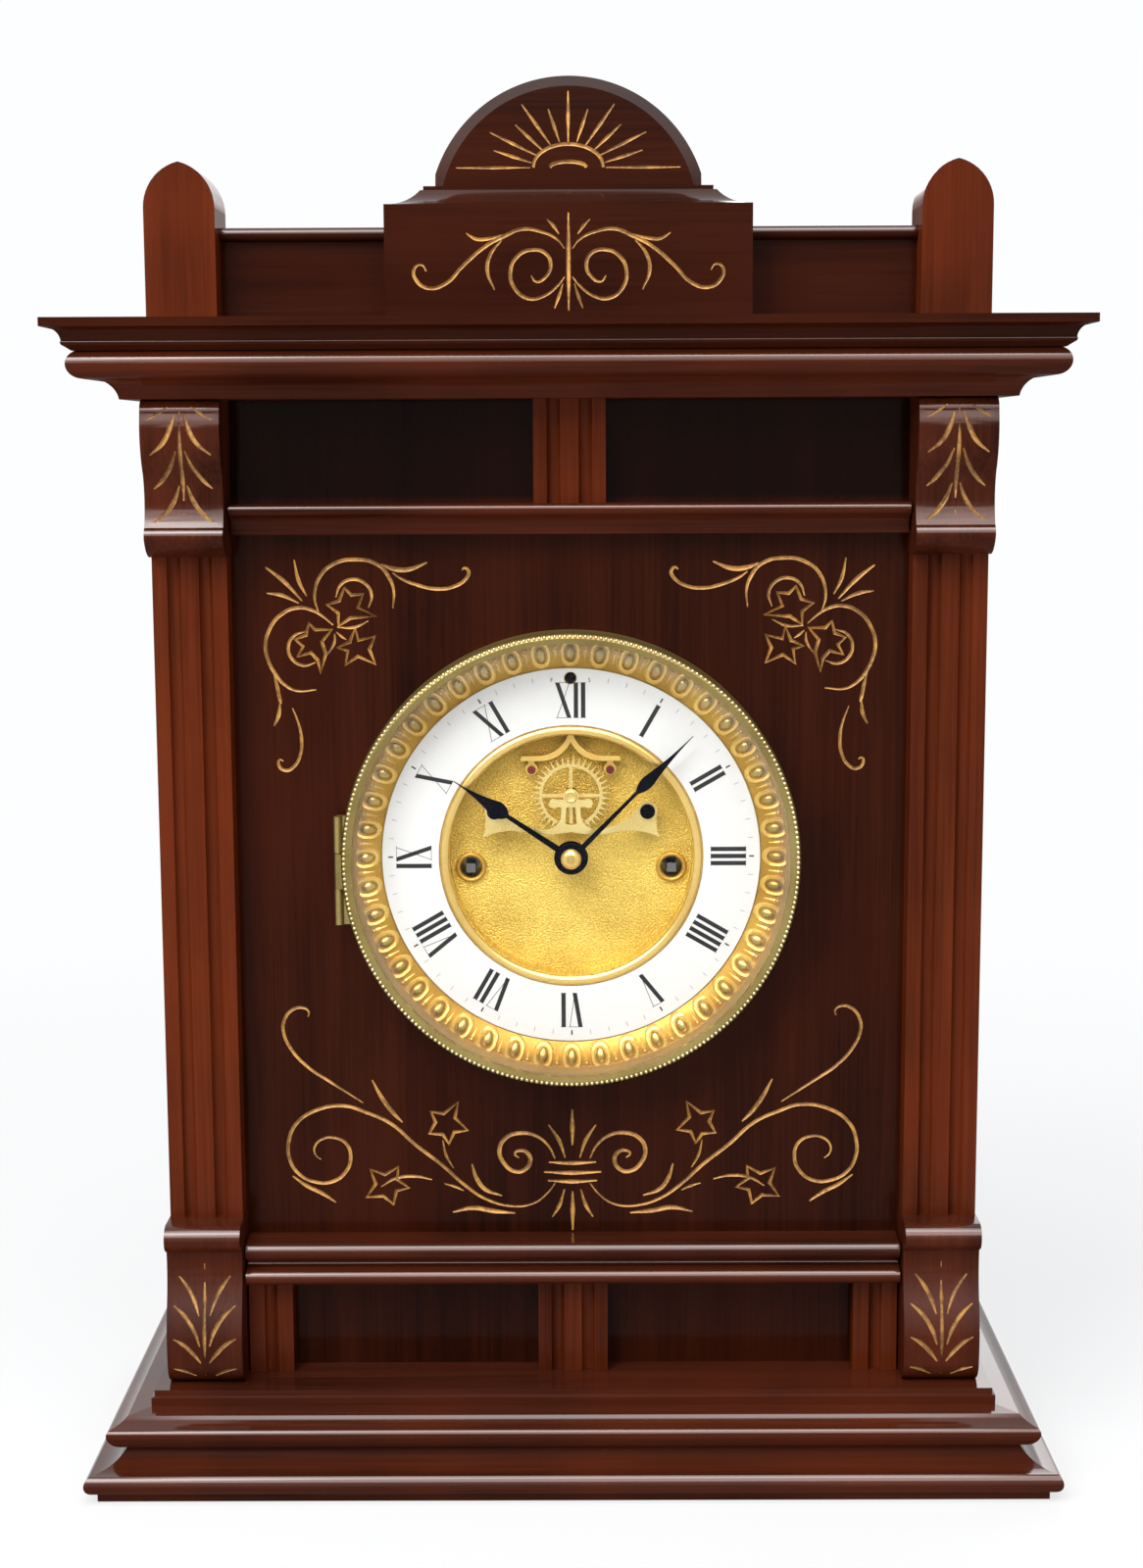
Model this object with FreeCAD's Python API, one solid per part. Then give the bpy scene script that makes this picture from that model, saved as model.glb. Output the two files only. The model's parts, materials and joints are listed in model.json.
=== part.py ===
# Shelf clock: a carved hardwood case with a hinged brass bezel, a visible
# escapement, an eight-day time and strike movement, a pendulum and a coil gong.
# Millimetres, +Z up, +Y to the back, origin under the middle of the base.
import FreeCAD
import Part

import math
import os

from FreeCAD import Vector

# Base and case
BASE_WIDTH = 336.4
BASE_DEPTH = 140.0
PLINTH_H = 16.0
BASE_H = 17.0
MOULD_INSET = 6.9
CASE_WIDTH = 278.0
CASE_H = 343.0
SIDE_T = 10.0
PANEL_T = 10.0
PANEL_SETBACK = 46.5
BACK_T = 10.0
BACK_INSET = 5.5
JOINT_GAP = 0.1

# Pilasters, brackets, rails and reeded blocks
PILASTER_W = 25.5
PILASTER_PROUD = 10.0
PILASTER_OVERHANG = 3.0
FLUTE_R = 2.3
FLUTE_SPREAD = 5.4
BRACKET_W = 26.4
LOWER_BRACKET_H = 57.7
UPPER_BRACKET_H = 52.7
LOWER_FRIEZE_H = 34.1
LOWER_RAIL_H = 14.7
UPPER_FRIEZE_H = 34.9
UPPER_RAIL_H = 10.5
RAIL_END_GAP = 0.8
REED_BLOCK_W = 24.6
REED_BLOCK_PROUD = 8.0
CORNER_BLOCK_W = 15.6

# Cornice, gallery and crest
BED_WIDTH = 327.2
BED_H = 15.5
BED_PROUD = 36.5
CAP_WIDTH = 340.8
CAP_H = 10.3
CAP_PROUD = 43.3
FINIAL_W = 23.7
FINIAL_D = 25.0
FINIAL_H = 52.1
FINIAL_SPRING = 37.1
FINIAL_PROUD = 12.0
GALLERY_H = 26.8
GALLERY_T = 12.0
GALLERY_RAIL_H = 4.6
GALLERY_RAIL_D = 19.0
CREST_W = 122.0
CREST_H = 36.4
CREST_T = 26.0
CREST_PROUD = 16.0
COVE_H = 8.2
COVE_INSET = 12.4
ARCH_W = 89.4
ARCH_SIDE_H = 4.3
ARCH_RISE = 32.0
ARCH_T = 15.0
ARCH_PROUD = 3.0
ARCH_CHAMFER = 3.8

# Back door
DOOR_W = 160.0
DOOR_SILL_H = 27.0
DOOR_HEAD_H = 46.0
DOOR_T = 8.0
DOOR_GAP = 1.0
HINGE_L = 30.0
HINGE_R = 2.0
HINGE_PIN_R = 0.9
HINGE_LEAF_W = 14.0
LEAF_T = 1.2
HINGE_INSET = 40.0
BUTTON_L = 26.0
BUTTON_W = 8.0
BUTTON_T = 2.0
BUTTON_GAP = 0.3

# Dial, depths counted back from the face of the front panel
DIAL_RISE = 12.3
DRUM_R = 69.4
HOLE_GAP = 0.6
SASH_LAP = 9.6
SASH_T = 1.5
SASH_H = 7.2
FLANGE_T = 1.2
PAN_BACK = 7.5
PAN_T = 1.4
PAN_LEDGE = 7.4
SHELF_LEDGE = 1.5
SHELF_FRONT = -2.0
SHELF_T = 1.1
DRUM_T = 1.9
EGG_BAND = 11.2
RING_GAP = 0.4
CHAPTER_T = 1.2
INNER_RING_W = 3.5
PLATE_R = 43.4
PLATE_LAP = 0.8
PLATE_FRONT = 5.0
PLATE_T = 1.0
EYELET_R = 5.4
EYELET_BORE_R = 3.7
EGG_COUNT = 44
EGG_R = 2.4
BEZEL_BACK = -7.4
BEZEL_FRONT = -17.2
BEZEL_T = 2.1
LIP_W = 3.6
GLASS_T = 4.4
GLASS_EDGE_T = 2.2
GLASS_BEVEL = 6.0
GLASS_FIT = 0.2
BEZEL_HINGE_L = 38.0
BEZEL_HINGE_DROP = 3.9
BEZEL_HINGE_OUT = 1.6
KNUCKLE_R = 1.5
KNUCKLE_GAP = 0.3

# Hands
HAND_T = 0.6
MINUTE_LEN = 60.0
MINUTE_ANGLE = 44.65
MINUTE_HUB_R = 5.4
MINUTE_DEPTH = -8.4
HOUR_LEN = 48.6
HOUR_ANGLE = 303.7
HOUR_HUB_R = 5.9
HOUR_DEPTH = -6.0
NUT_R = 3.6
NUT_H = 2.2

# Escapement, heights counted from the middle of the dial
ESCAPE_Z = 21.0
ESCAPE_TEETH = 40
ESCAPE_TIP_R = 13.8
ESCAPE_RIM_R = 11.1
ESCAPE_RIM_W = 1.1
ESCAPE_DEPTH = 0.0
ESCAPE_T = 0.9
PALLET_SPAN = 12.5
STONE_R = 1.45
STONE_L = 4.6
STONE_CLEAR = 1.2
ANCHOR_DEPTH = 0.4
ANCHOR_T = 3.2
ARM_W = 1.7
BRIDGE_DEPTH = -2.6
BRIDGE_T = 1.2
FOOT_X = 26.6
FOOT_DROP = 5.2
FOOT_R = 3.5
SCREW_R = 2.6

# Movement frame and trains, module times teeth is the pitch diameter
PLATES_W = 120.0
PLATES_RISE = 7.6
PLATES_BOTTOM = 42.0
FRONT_PLATE = 16.0
BACK_PLATE = 52.0
DOOR_FRONT = 80.0
PLATE_THICK = 1.6
PILLAR_R = 3.0
PILLAR_PIN_R = 1.6
PRESS_FIT = 0.02
PLATE_CORNER = 9.0
PLATE_WINDOW_R = 17.0
PILLAR_INSET = 8.0
POST_R = 2.6
POST_INSET = 9.4
ARBOR_R = 1.1
PIVOT_R = 0.6
PIVOT_FIT = 0.06
BIG_FIT = 0.1
WIND_X = 35.2
WIND_DROP = 5.0
WIND_R = 2.4
WIND_SQUARE = 3.2
WIND_FRONT = 3.0
WIND_PIVOT_R = 1.2
HUB_R = 5.0
LIFTER_COUNT = 8
LIFTER_R = 0.5
CLICK_R = 1.6
GREAT_DEPTH = 21.0
GREAT_T = 2.0
CENTRE_DEPTH = 25.2
THIRD_DEPTH = 19.2
SECOND_DEPTH = 48.0
MOTION_DEPTH = 12.0
HOUR_WHEEL_DEPTH = 9.0
WHEEL_T = 1.2
FAST_WHEEL_T = 1.0
WHEEL_HUB_R = 3.6
RIM_W = 1.7
SPOKE_W = 2.2
SPOKE_COUNT = 4
PINION_ROOM = 1.4
PINION_CAP = 0.8
PINION_PIN_SHARE = 0.45
END_SHAKE = 0.2
GREAT_TEETH = 72
GREAT_MODULE = 0.62
SECOND_PINION_TEETH = 12
SECOND_TEETH = 48
SECOND_MODULE = 0.71
CENTRE_PINION_TEETH = 12
CENTRE_TEETH = 84
CENTRE_MODULE = 0.45
THIRD_PINION_TEETH = 8
THIRD_TEETH = 80
THIRD_MODULE = 0.4
ESCAPE_PINION_TEETH = 8
PIN_PINION_TEETH = 8
PIN_TEETH = 64
PIN_MODULE = 0.5
WARN_PINION_TEETH = 8
WARN_TEETH = 56
WARN_MODULE = 0.4
FLY_PINION_TEETH = 7
FLY_SPAN = 21.0
FLY_FRONT = 30.0
FLY_BACK = 47.0
FLY_T = 0.6
FLY_HUB_R = 1.8
CANNON_TEETH = 14
MINUTE_TEETH = 42
MOTION_MODULE = 0.6
MINUTE_PINION_TEETH = 10
HOUR_TEETH = 40
CANNON_R = 2.3
CENTRE_R = 1.25
PIPE_R = 3.2
RATCHET_R = 9.0
RATCHET_TEETH = 16
SPRING_TURN_COUNT = 6
SPRING_R = 20.5
SPRING_HUB_R = 2.95
SPRING_STRIP = 0.5
SPRING_W = 18.0
SPRING_FRONT = 28.3
HOOK_R = 3.5

# Strike and pendulum
HAMMER_X = -22.0
HAMMER_DROP = 33.0
HAMMER_HEAD_R = 4.5
HAMMER_HEAD_L = 13.0
HAMMER_REST_GAP = 1.0
GONG_DEPTH = 32.0
GONG_RISE = 48.0
GONG_HALF_TURN_COUNT = 9
GONG_R = 14.0
GONG_STEP = 2.5
GONG_WIRE_R = 1.2
STAND_W = 44.0
STAND_D = 24.0
STAND_H = 7.0
PENDULUM_DEPTH = 62.0
PENDULUM_FLOOR_GAP = 18.7
ROD_TAIL = 9.0
ROD_R = 0.9
BOB_R = 21.0
BOB_T = 11.0
CRUTCH_L = 40.0
CRUTCH_FIT = 0.15
REGULATOR_INSET = 3.4
REGULATOR_R = 1.2
REGULATOR_COLLAR_R = 2.4
REGULATOR_TAIL = 4.0
COCK_W = 10.0

# Levels that follow from the sizes above
Y_NOSE = -BASE_DEPTH / 2
Y_PANEL = Y_NOSE + PANEL_SETBACK
Y_BASE_BACK = BASE_DEPTH / 2
Y_CASE_BACK = Y_BASE_BACK - BACK_INSET
Y_BACK_IN = Y_CASE_BACK - BACK_T
Z_CASE = PLINTH_H + BASE_H
Z_BED = Z_CASE + CASE_H
Z_CAP = Z_BED + BED_H
Z_TOP = Z_CAP + CAP_H
LOWER_RAIL_Z = Z_CASE + LOWER_FRIEZE_H
UPPER_RAIL_Z = Z_BED - UPPER_FRIEZE_H - UPPER_RAIL_H
FIELD_Z = LOWER_RAIL_Z + LOWER_RAIL_H
DIAL_Z = (FIELD_Z + UPPER_RAIL_Z) / 2 + DIAL_RISE
DOOR_Z = Z_CASE + DOOR_SILL_H
DOOR_H = CASE_H - DOOR_SILL_H - DOOR_HEAD_H
HALF_CASE = CASE_WIDTH / 2
PILASTER_X = HALF_CASE + PILASTER_OVERHANG - PILASTER_W / 2
ANCHOR_Z = ESCAPE_Z + ESCAPE_TIP_R / math.cos(math.radians(PALLET_SPAN * 180 / ESCAPE_TEETH))
SASH_R = DRUM_R + SASH_LAP
HOLE_R = DRUM_R + HOLE_GAP
POST_REACH = DRUM_R - POST_INSET
CHAPTER_OUT_R = SASH_R - SASH_T - JOINT_GAP - EGG_BAND - RING_GAP
INNER_RING_R = PLATE_R - PLATE_LAP
CHAPTER_IN_R = INNER_RING_R + INNER_RING_W
SHELF_R = CHAPTER_IN_R - SHELF_LEDGE
PAN_BORE_R = PLATE_R - PAN_LEDGE
REGULATOR_Z = CHAPTER_OUT_R - REGULATOR_INSET
PLATES_TOP = REGULATOR_Z + PLATES_RISE
GONG_Z = Z_CASE + GONG_RISE
PENDULUM_L = DIAL_Z + ANCHOR_Z - Z_CASE - PENDULUM_FLOOR_GAP - ROD_TAIL - BOB_R
STRETCH = (Y_CASE_BACK - DOOR_T - Y_PANEL - FRONT_PLATE) / (DOOR_FRONT - FRONT_PLATE)
X_AXIS = Vector(1, 0, 0)
Y_AXIS = Vector(0, 1, 0)
Z_AXIS = Vector(0, 0, 1)
TOOTH = ((-0.27, -1.25), (-0.2, 0.0), (-0.06, 0.85), (0.06, 0.85), (0.2, 0.0), (0.27, -1.25))


# Position across the case for a depth behind the panel face; behind the front
# plate of the movement the depths stretch with the case
def at(depth):
    return Y_PANEL + min(depth, FRONT_PLATE) + STRETCH * max(depth - FRONT_PLATE, 0)


# Block between two corners
def block(x0, x1, y0, y1, z0, z1):
    return Part.makeBox(x1 - x0, y1 - y0, z1 - z0, Vector(x0, y0, z0))


# One solid from several overlapping ones
def joined(shapes):
    return shapes[0].multiFuse(shapes[1:]).removeSplitter()


# Mirror image across the middle plane of the clock
def mirrored(shape):
    return shape.mirror(Vector(0, 0, 0), X_AXIS)


# Left and right copies as two separate solids
def pair(shape):
    return Part.makeCompound([shape, mirrored(shape)])


# Closed outline of lines (a, b) and arcs (a, b, mid_a, mid_b), placed by a mapping
def outline(points, place):
    edges = []
    for here, there in zip(points, points[1:] + points[:1]):
        start = place(here[0], here[1])
        end = place(there[0], there[1])
        if len(there) == 4:
            edges.append(Part.Arc(start, place(there[2], there[3]), end).toShape())
        else:
            edges.append(Part.LineSegment(start, end).toShape())
    return Part.Face(Part.Wire(edges))


# Outline in depth and height, drawn out along X
def run_x(points, x0, x1):
    face = outline(points, lambda y, z: Vector(x0, y, z))
    return face.extrude(X_AXIS * (x1 - x0))


# Outline in the front view, drawn back along Y
def run_y(points, y0, y1):
    face = outline(points, lambda x, z: Vector(x, y0, z))
    return face.extrude(Y_AXIS * (y1 - y0))


# Board whose front and side edges carry one moulding, mitred at the corners
def moulded_board(edge, half_width, y_front, y_back):
    top = edge[-1][1]
    bottom = edge[0][1]
    front = []
    right = []
    for point in edge:
        if len(point) == 4:
            front.append((y_front + point[0], point[1], y_front + point[2], point[3]))
            right.append((half_width - point[0], point[1], half_width - point[2], point[3]))
        else:
            front.append((y_front + point[0], point[1]))
            right.append((half_width - point[0], point[1]))
    across = run_x(front + [(y_back, top), (y_back, bottom)], -half_width, half_width)
    half = run_y(right + [(0, top), (0, bottom)], y_front, y_back)
    return across.common(half.fuse(mirrored(half)).removeSplitter())


# Rod along Y, placed from the middle of the dial
def rod(spot, d0, d1, radius):
    start = Vector(spot[0], at(d0), DIAL_Z + spot[1])
    return Part.makeCylinder(radius, at(d1) - at(d0), start, Y_AXIS)


# Bore along Y from the bezel to the back plate
def bore(spot, radius):
    return rod(spot, BEZEL_FRONT, BACK_PLATE + PLATE_THICK, radius)


# Ring along Y, placed from the middle of the dial
def ring(spot, d0, d1, r_in, r_out):
    return rod(spot, d0, d1, r_out).cut(rod(spot, d0 - 1, d1 + 1, r_in))


# Ring turned about the middle of the dial from (radius, depth) points
def turned(points):
    face = outline(points, lambda r, d: Vector(r, at(d), DIAL_Z))
    return face.revolve(Vector(0, 0, DIAL_Z), Y_AXIS, 360)


# Upright rod between two heights
def post(x, y, z0, z1, radius):
    return Part.makeCylinder(radius, z1 - z0, Vector(x, y, z0), Z_AXIS)


# Moulded edges of the base and the cornice

def make_base_plinth():
    edge = [(4.0, 0.0), (4.0, 3.0), (2.0, 3.4), (1.8, 10.0, 0.0, 6.5)]
    edge.append((13.0, PLINTH_H, 9.3, 12.0))
    return moulded_board(edge, BASE_WIDTH / 2, Y_NOSE, Y_BASE_BACK)


def make_base_moulding():
    z = PLINTH_H
    edge = [(6.5, z), (0.0, z + 5.5, 2.4, z + 1.7), (1.6, z + 8.2, 0.3, z + 7.3)]
    edge += [(6.5, z + 11.0, 4.3, z + 9.3), (13.6, z + 11.6), (13.6, z + 14.6)]
    edge += [(14.6, z + 15.0), (14.6, z + BASE_H)]
    return moulded_board(edge, BASE_WIDTH / 2 - MOULD_INSET, Y_NOSE + MOULD_INSET, Y_BASE_BACK)


def make_cornice_bed():
    z = Z_BED
    edge = [(14.5, z), (5.5, z + 6.6, 12.3, z + 4.4), (3.0, z + BED_H, 0.0, z + 11.4)]
    return moulded_board(edge, BED_WIDTH / 2, at(-BED_PROUD), Y_CASE_BACK)


def make_cornice_cap():
    z = Z_CAP
    edge = [(8.6, z), (6.4, z + 1.5), (5.9, z + 3.1, 5.7, z + 2.3)]
    edge += [(0.0, z + 7.4, 4.2, z + 6.3), (0.0, z + CAP_H)]
    return moulded_board(edge, CAP_WIDTH / 2, at(-CAP_PROUD), Y_CASE_BACK)


# Boards of the case

def make_case_sides():
    return pair(block(HALF_CASE - SIDE_T, HALF_CASE, at(0), Y_BACK_IN, Z_CASE, Z_BED))


def make_front_panel():
    half = HALF_CASE - SIDE_T
    board = block(-half, half, at(0), at(PANEL_T), Z_CASE, Z_BED)
    return board.cut(rod((0, 0), -1, PANEL_T + 1, HOLE_R))


def make_back_board():
    board = block(-HALF_CASE, HALF_CASE, Y_BACK_IN, Y_CASE_BACK, Z_CASE, Z_BED)
    half = DOOR_W / 2
    return board.cut(block(-half, half, Y_BACK_IN - 1, Y_CASE_BACK + 1, DOOR_Z, DOOR_Z + DOOR_H))


# Pilasters, brackets, rails and blocks on the front

def fluted_board(x_mid, width, proud, z0, z1, flutes):
    board = block(x_mid - width / 2, x_mid + width / 2, at(-proud), at(0), z0, z1)
    for x in flutes:
        board = board.cut(post(x, at(-proud), z0 - 1, z1 + 1, FLUTE_R))
    return board


def make_pilasters():
    z0 = Z_CASE + LOWER_BRACKET_H
    z1 = Z_BED - UPPER_BRACKET_H
    flutes = [PILASTER_X - FLUTE_SPREAD, PILASTER_X + FLUTE_SPREAD]
    return pair(fluted_board(PILASTER_X, PILASTER_W, PILASTER_PROUD, z0, z1, flutes))


def make_reed_blocks():
    flutes = [-FLUTE_SPREAD, FLUTE_SPREAD]
    upper = UPPER_RAIL_Z + UPPER_RAIL_H
    blocks = [fluted_board(0, REED_BLOCK_W, REED_BLOCK_PROUD, Z_CASE, LOWER_RAIL_Z, flutes)]
    blocks.append(fluted_board(0, REED_BLOCK_W, REED_BLOCK_PROUD, upper, Z_BED, flutes))
    x_mid = PILASTER_X - BRACKET_W / 2 - RAIL_END_GAP - CORNER_BLOCK_W / 2
    corner = fluted_board(x_mid, CORNER_BLOCK_W, REED_BLOCK_PROUD, Z_CASE, LOWER_RAIL_Z, [x_mid])
    return Part.makeCompound(blocks + [corner, mirrored(corner)])


def bracket(points):
    x0 = PILASTER_X - BRACKET_W / 2
    return pair(run_x(points, x0, x0 + BRACKET_W))


def make_lower_brackets():
    y = at(0)
    z = Z_CASE
    h = LOWER_BRACKET_H
    points = [(y, z), (y - 15.5, z), (y - 21.8, z + 9.0, y - 20.0, z + 3.2)]
    points += [(y - 19.4, z + 30.0, y - 21.9, z + 20.0), (y - 17.6, z + h - 10.1, y - 17.5, z + 39.0)]
    points += [(y - 19.8, z + h - 9.0), (y - 19.8, z + h - 0.5, y - 22.6, z + h - 4.8)]
    points += [(y - 18.4, z + h), (y, z + h)]
    return bracket(points)


def make_upper_brackets():
    y = at(0)
    z = Z_BED - UPPER_BRACKET_H
    h = UPPER_BRACKET_H
    points = [(y, z), (y - 10.3, z), (y - 21.0, z + 6.2, y - 17.0, z + 1.8)]
    points += [(y - 19.4, z + 10.2, y - 20.8, z + 8.5), (y - 19.2, z + 28.0, y - 17.4, z + 19.0)]
    points += [(y - 22.6, z + h - 4.7, y - 23.2, z + 38.0), (y - 19.0, z + h, y - 21.4, z + h - 1.4)]
    points += [(y, z + h)]
    return bracket(points)


def rail_half():
    return PILASTER_X - BRACKET_W / 2 - RAIL_END_GAP


def make_lower_rail():
    y = at(0)
    z = LOWER_RAIL_Z
    h = LOWER_RAIL_H
    points = [(y, z), (y - 12.0, z), (y - 12.0, z + 5.2, y - 15.2, z + 2.6), (y - 10.6, z + 5.8)]
    points += [(y - 10.6, z + h - 6.4, y - 9.2, z + 7.0), (y - 11.2, z + h - 6.0)]
    points += [(y - 11.2, z + h, y - 14.2, z + h - 3.0), (y, z + h)]
    return run_x(points, -rail_half(), rail_half())


def make_upper_rail():
    y = at(0)
    z = UPPER_RAIL_Z
    h = UPPER_RAIL_H
    points = [(y, z), (y - 7.2, z), (y - 7.2, z + 2.2), (y - 10.4, z + h - 4.4, y - 8.0, z + 4.7)]
    points += [(y - 11.0, z + h - 4.2), (y - 11.0, z + h, y - 13.1, z + h - 2.1), (y, z + h)]
    return run_x(points, -rail_half(), rail_half())


# Finials, gallery and crest above the cornice

def make_finials():
    half = FINIAL_W / 2
    spring = Z_TOP + FINIAL_SPRING
    rise = FINIAL_H - FINIAL_SPRING
    centre = (rise * rise - half * half) / (2 * half)
    radius = centre + half
    mid = math.pi - math.atan2(rise, -centre)
    lift = radius * math.sin(mid / 2)
    reach = radius * math.cos(mid / 2) - centre
    x = PILASTER_X
    points = [(x - half, Z_TOP), (x - half, spring), (x, Z_TOP + FINIAL_H, x - reach, spring + lift)]
    points += [(x + half, spring, x + reach, spring + lift), (x + half, Z_TOP)]
    return pair(run_y(points, at(-FINIAL_PROUD), at(-FINIAL_PROUD) + FINIAL_D))


def make_gallery():
    x0 = CREST_W / 2 + JOINT_GAP
    x1 = PILASTER_X - FINIAL_W / 2 - JOINT_GAP
    panel = block(x0, x1, at(0), at(GALLERY_T), Z_TOP, Z_TOP + GALLERY_H)
    z = Z_TOP + GALLERY_H
    half = GALLERY_RAIL_H / 2
    y0 = at(GALLERY_T / 2) - GALLERY_RAIL_D / 2 + half
    y1 = at(GALLERY_T / 2) + GALLERY_RAIL_D / 2
    points = [(y0, z), (y0, z + 2 * half, y0 - half, z + half), (y1, z + 2 * half), (y1, z)]
    rail = run_x(points, x0, x1)
    return Part.makeCompound([panel, mirrored(panel), rail, mirrored(rail)])


def make_crest_block():
    half = CREST_W / 2
    return block(-half, half, at(-CREST_PROUD), at(-CREST_PROUD) + CREST_T, Z_TOP, Z_TOP + CREST_H)


def make_crest_cove():
    z = Z_TOP + CREST_H
    edge = [(0.0, z), (0.0, z + 1.2), (COVE_INSET - 1.0, z + COVE_H - 1.4, 6.8, z + 3.0)]
    edge += [(COVE_INSET, z + COVE_H - 1.2), (COVE_INSET, z + COVE_H)]
    y_front = at(-CREST_PROUD)
    return moulded_board(edge, CREST_W / 2, y_front, y_front + CREST_T)


def make_crest_arch():
    half = ARCH_W / 2
    z = Z_TOP + CREST_H + COVE_H
    shoulder = z + ARCH_SIDE_H
    points = [(-half, z), (-half, shoulder), (half, shoulder, 0, shoulder + ARCH_RISE), (half, z)]
    board = run_y(points, at(-ARCH_PROUD), at(-ARCH_PROUD) + ARCH_T)
    rim = []
    for edge in board.Edges:
        box = edge.BoundBox
        if box.YMax < at(-ARCH_PROUD) + 0.01 and box.ZMax > shoulder + 1:
            rim.append(edge)
    return board.makeChamfer(ARCH_CHAMFER, rim)


# Back door with its hinges and turn button

def hinge_heights():
    return [DOOR_Z + HINGE_INSET, DOOR_Z + DOOR_H - HINGE_INSET]


def make_back_door():
    half = DOOR_W / 2 - DOOR_GAP
    return block(-half, half, Y_CASE_BACK - DOOR_T, Y_CASE_BACK, DOOR_Z + DOOR_GAP,
                 DOOR_Z + DOOR_H - DOOR_GAP)


# One knuckle of a door hinge with the strip of leaf beside it
def knuckle(z0, z1, side):
    x = -DOOR_W / 2
    y = Y_CASE_BACK + HINGE_R
    barrel = post(x, y, z0, z1, HINGE_R)
    tongue = block(min(x, x + side * HINGE_R), max(x, x + side * HINGE_R), Y_CASE_BACK,
                   Y_CASE_BACK + LEAF_T, z0, z1)
    return barrel.fuse(tongue)


# Leaf plate of one hinge, on the door or on the frame
def leaf(z, side):
    x0 = -DOOR_W / 2 + side * (HINGE_R + KNUCKLE_GAP)
    x1 = -DOOR_W / 2 + side * HINGE_LEAF_W
    return block(min(x0, x1), max(x0, x1), Y_CASE_BACK, Y_CASE_BACK + LEAF_T,
                 z - HINGE_L / 2, z + HINGE_L / 2)


def make_door_hinge_leaves():
    third = HINGE_L / 6
    bore_y = Y_CASE_BACK + HINGE_R
    leaves = []
    for z in hinge_heights():
        link = block(-DOOR_W / 2, -DOOR_W / 2 + HINGE_R + 1, Y_CASE_BACK, Y_CASE_BACK + LEAF_T,
                     z - third + KNUCKLE_GAP, z + third - KNUCKLE_GAP)
        middle = knuckle(z - third + KNUCKLE_GAP, z + third - KNUCKLE_GAP, 1)
        solid = joined([leaf(z, 1), link, middle])
        leaves.append(solid.cut(post(-DOOR_W / 2, bore_y, z - HINGE_L, z + HINGE_L,
                                     HINGE_PIN_R + PIVOT_FIT)))
    return Part.makeCompound(leaves)


def make_frame_hinge_leaves():
    third = HINGE_L / 6
    pin_y = Y_CASE_BACK + HINGE_R
    leaves = []
    for z in hinge_heights():
        pieces = [leaf(z, -1)]
        for z0 in (z - 3 * third, z + third):
            pieces.append(knuckle(z0, z0 + 2 * third, -1))
            pieces.append(block(-DOOR_W / 2 - HINGE_R - 1, -DOOR_W / 2, Y_CASE_BACK,
                                Y_CASE_BACK + LEAF_T, z0, z0 + 2 * third))
        pieces.append(post(-DOOR_W / 2, pin_y, z - 3 * third, z + 3 * third, HINGE_PIN_R))
        leaves.append(joined(pieces))
    return Part.makeCompound(leaves)


# Spot of the turn button's screw, beside the door
def button_spot():
    return DOOR_W / 2 + BUTTON_W, DOOR_Z + DOOR_H / 2


def make_door_button():
    x, z = button_spot()
    y = Y_CASE_BACK + BUTTON_GAP
    half = BUTTON_L / 2 - BUTTON_W / 2
    r = BUTTON_W / 2
    points = [(x - r, z - half), (x - r, z + half), (x + r, z + half, x, z + half + r), (x + r, z - half)]
    bar = run_y(points, y, y + BUTTON_T)
    foot = Part.makeCylinder(r, BUTTON_T, Vector(x, y, z - half), Y_AXIS)
    boss = Part.makeCylinder(r - 1, BUTTON_GAP, Vector(x, Y_CASE_BACK, z), Y_AXIS)
    return joined([bar, foot, boss])


# Dial, bezel and glass

def make_dial_sash():
    c = (0, 0)
    pieces = [ring(c, -FLANGE_T, 0, DRUM_R - 2.4, SASH_R), ring(c, -SASH_H, 0, SASH_R - SASH_T, SASH_R)]
    pieces.append(ring(c, SHELF_FRONT, SHELF_FRONT + SHELF_T, SHELF_R, DRUM_R))
    pieces.append(ring(c, SHELF_FRONT + 0.5, PAN_BACK, DRUM_R - DRUM_T, DRUM_R))
    pieces.append(ring(c, PAN_BACK - PAN_T, PAN_BACK, PAN_BORE_R, DRUM_R))
    pan = joined(pieces)
    pan = pan.cut(rod((0, ANCHOR_Z), PAN_BACK - PAN_T - 1, PAN_BACK + 1, ARBOR_R + 1.4))
    pan = pan.cut(rod((0, REGULATOR_Z), SHELF_FRONT - 1, PAN_BACK + 1, REGULATOR_R + 0.8))
    for x in (-1, 1):
        pan = pan.cut(rod((x * WIND_X, -WIND_DROP), PAN_BACK - PAN_T - 1, PAN_BACK + 1, EYELET_R))
    fixed = [pan]
    for z0, z1 in bezel_knuckles()[::2]:
        fixed.append(bezel_knuckle(z0, z1))
        fixed.append(hinge_tongue(z0, z1, BEZEL_BACK + 0.3, BEZEL_BACK + 3.2))
    z_low = bezel_knuckles()[0][0]
    fixed.append(post(bezel_axis_x(), at(BEZEL_BACK), z_low, z_low + BEZEL_HINGE_L, HINGE_PIN_R))
    return joined(fixed)


def bezel_axis_x():
    return -(SASH_R + BEZEL_HINGE_OUT)


# Heights of the three knuckles of the bezel hinge, lowest first
def bezel_knuckles():
    low = DIAL_Z - BEZEL_HINGE_DROP - BEZEL_HINGE_L / 2
    third = BEZEL_HINGE_L / 3
    return [(low + i * third, low + (i + 1) * third) for i in range(3)]


def bezel_knuckle(z0, z1):
    return post(bezel_axis_x(), at(BEZEL_BACK), z0, z1, KNUCKLE_R)


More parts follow.
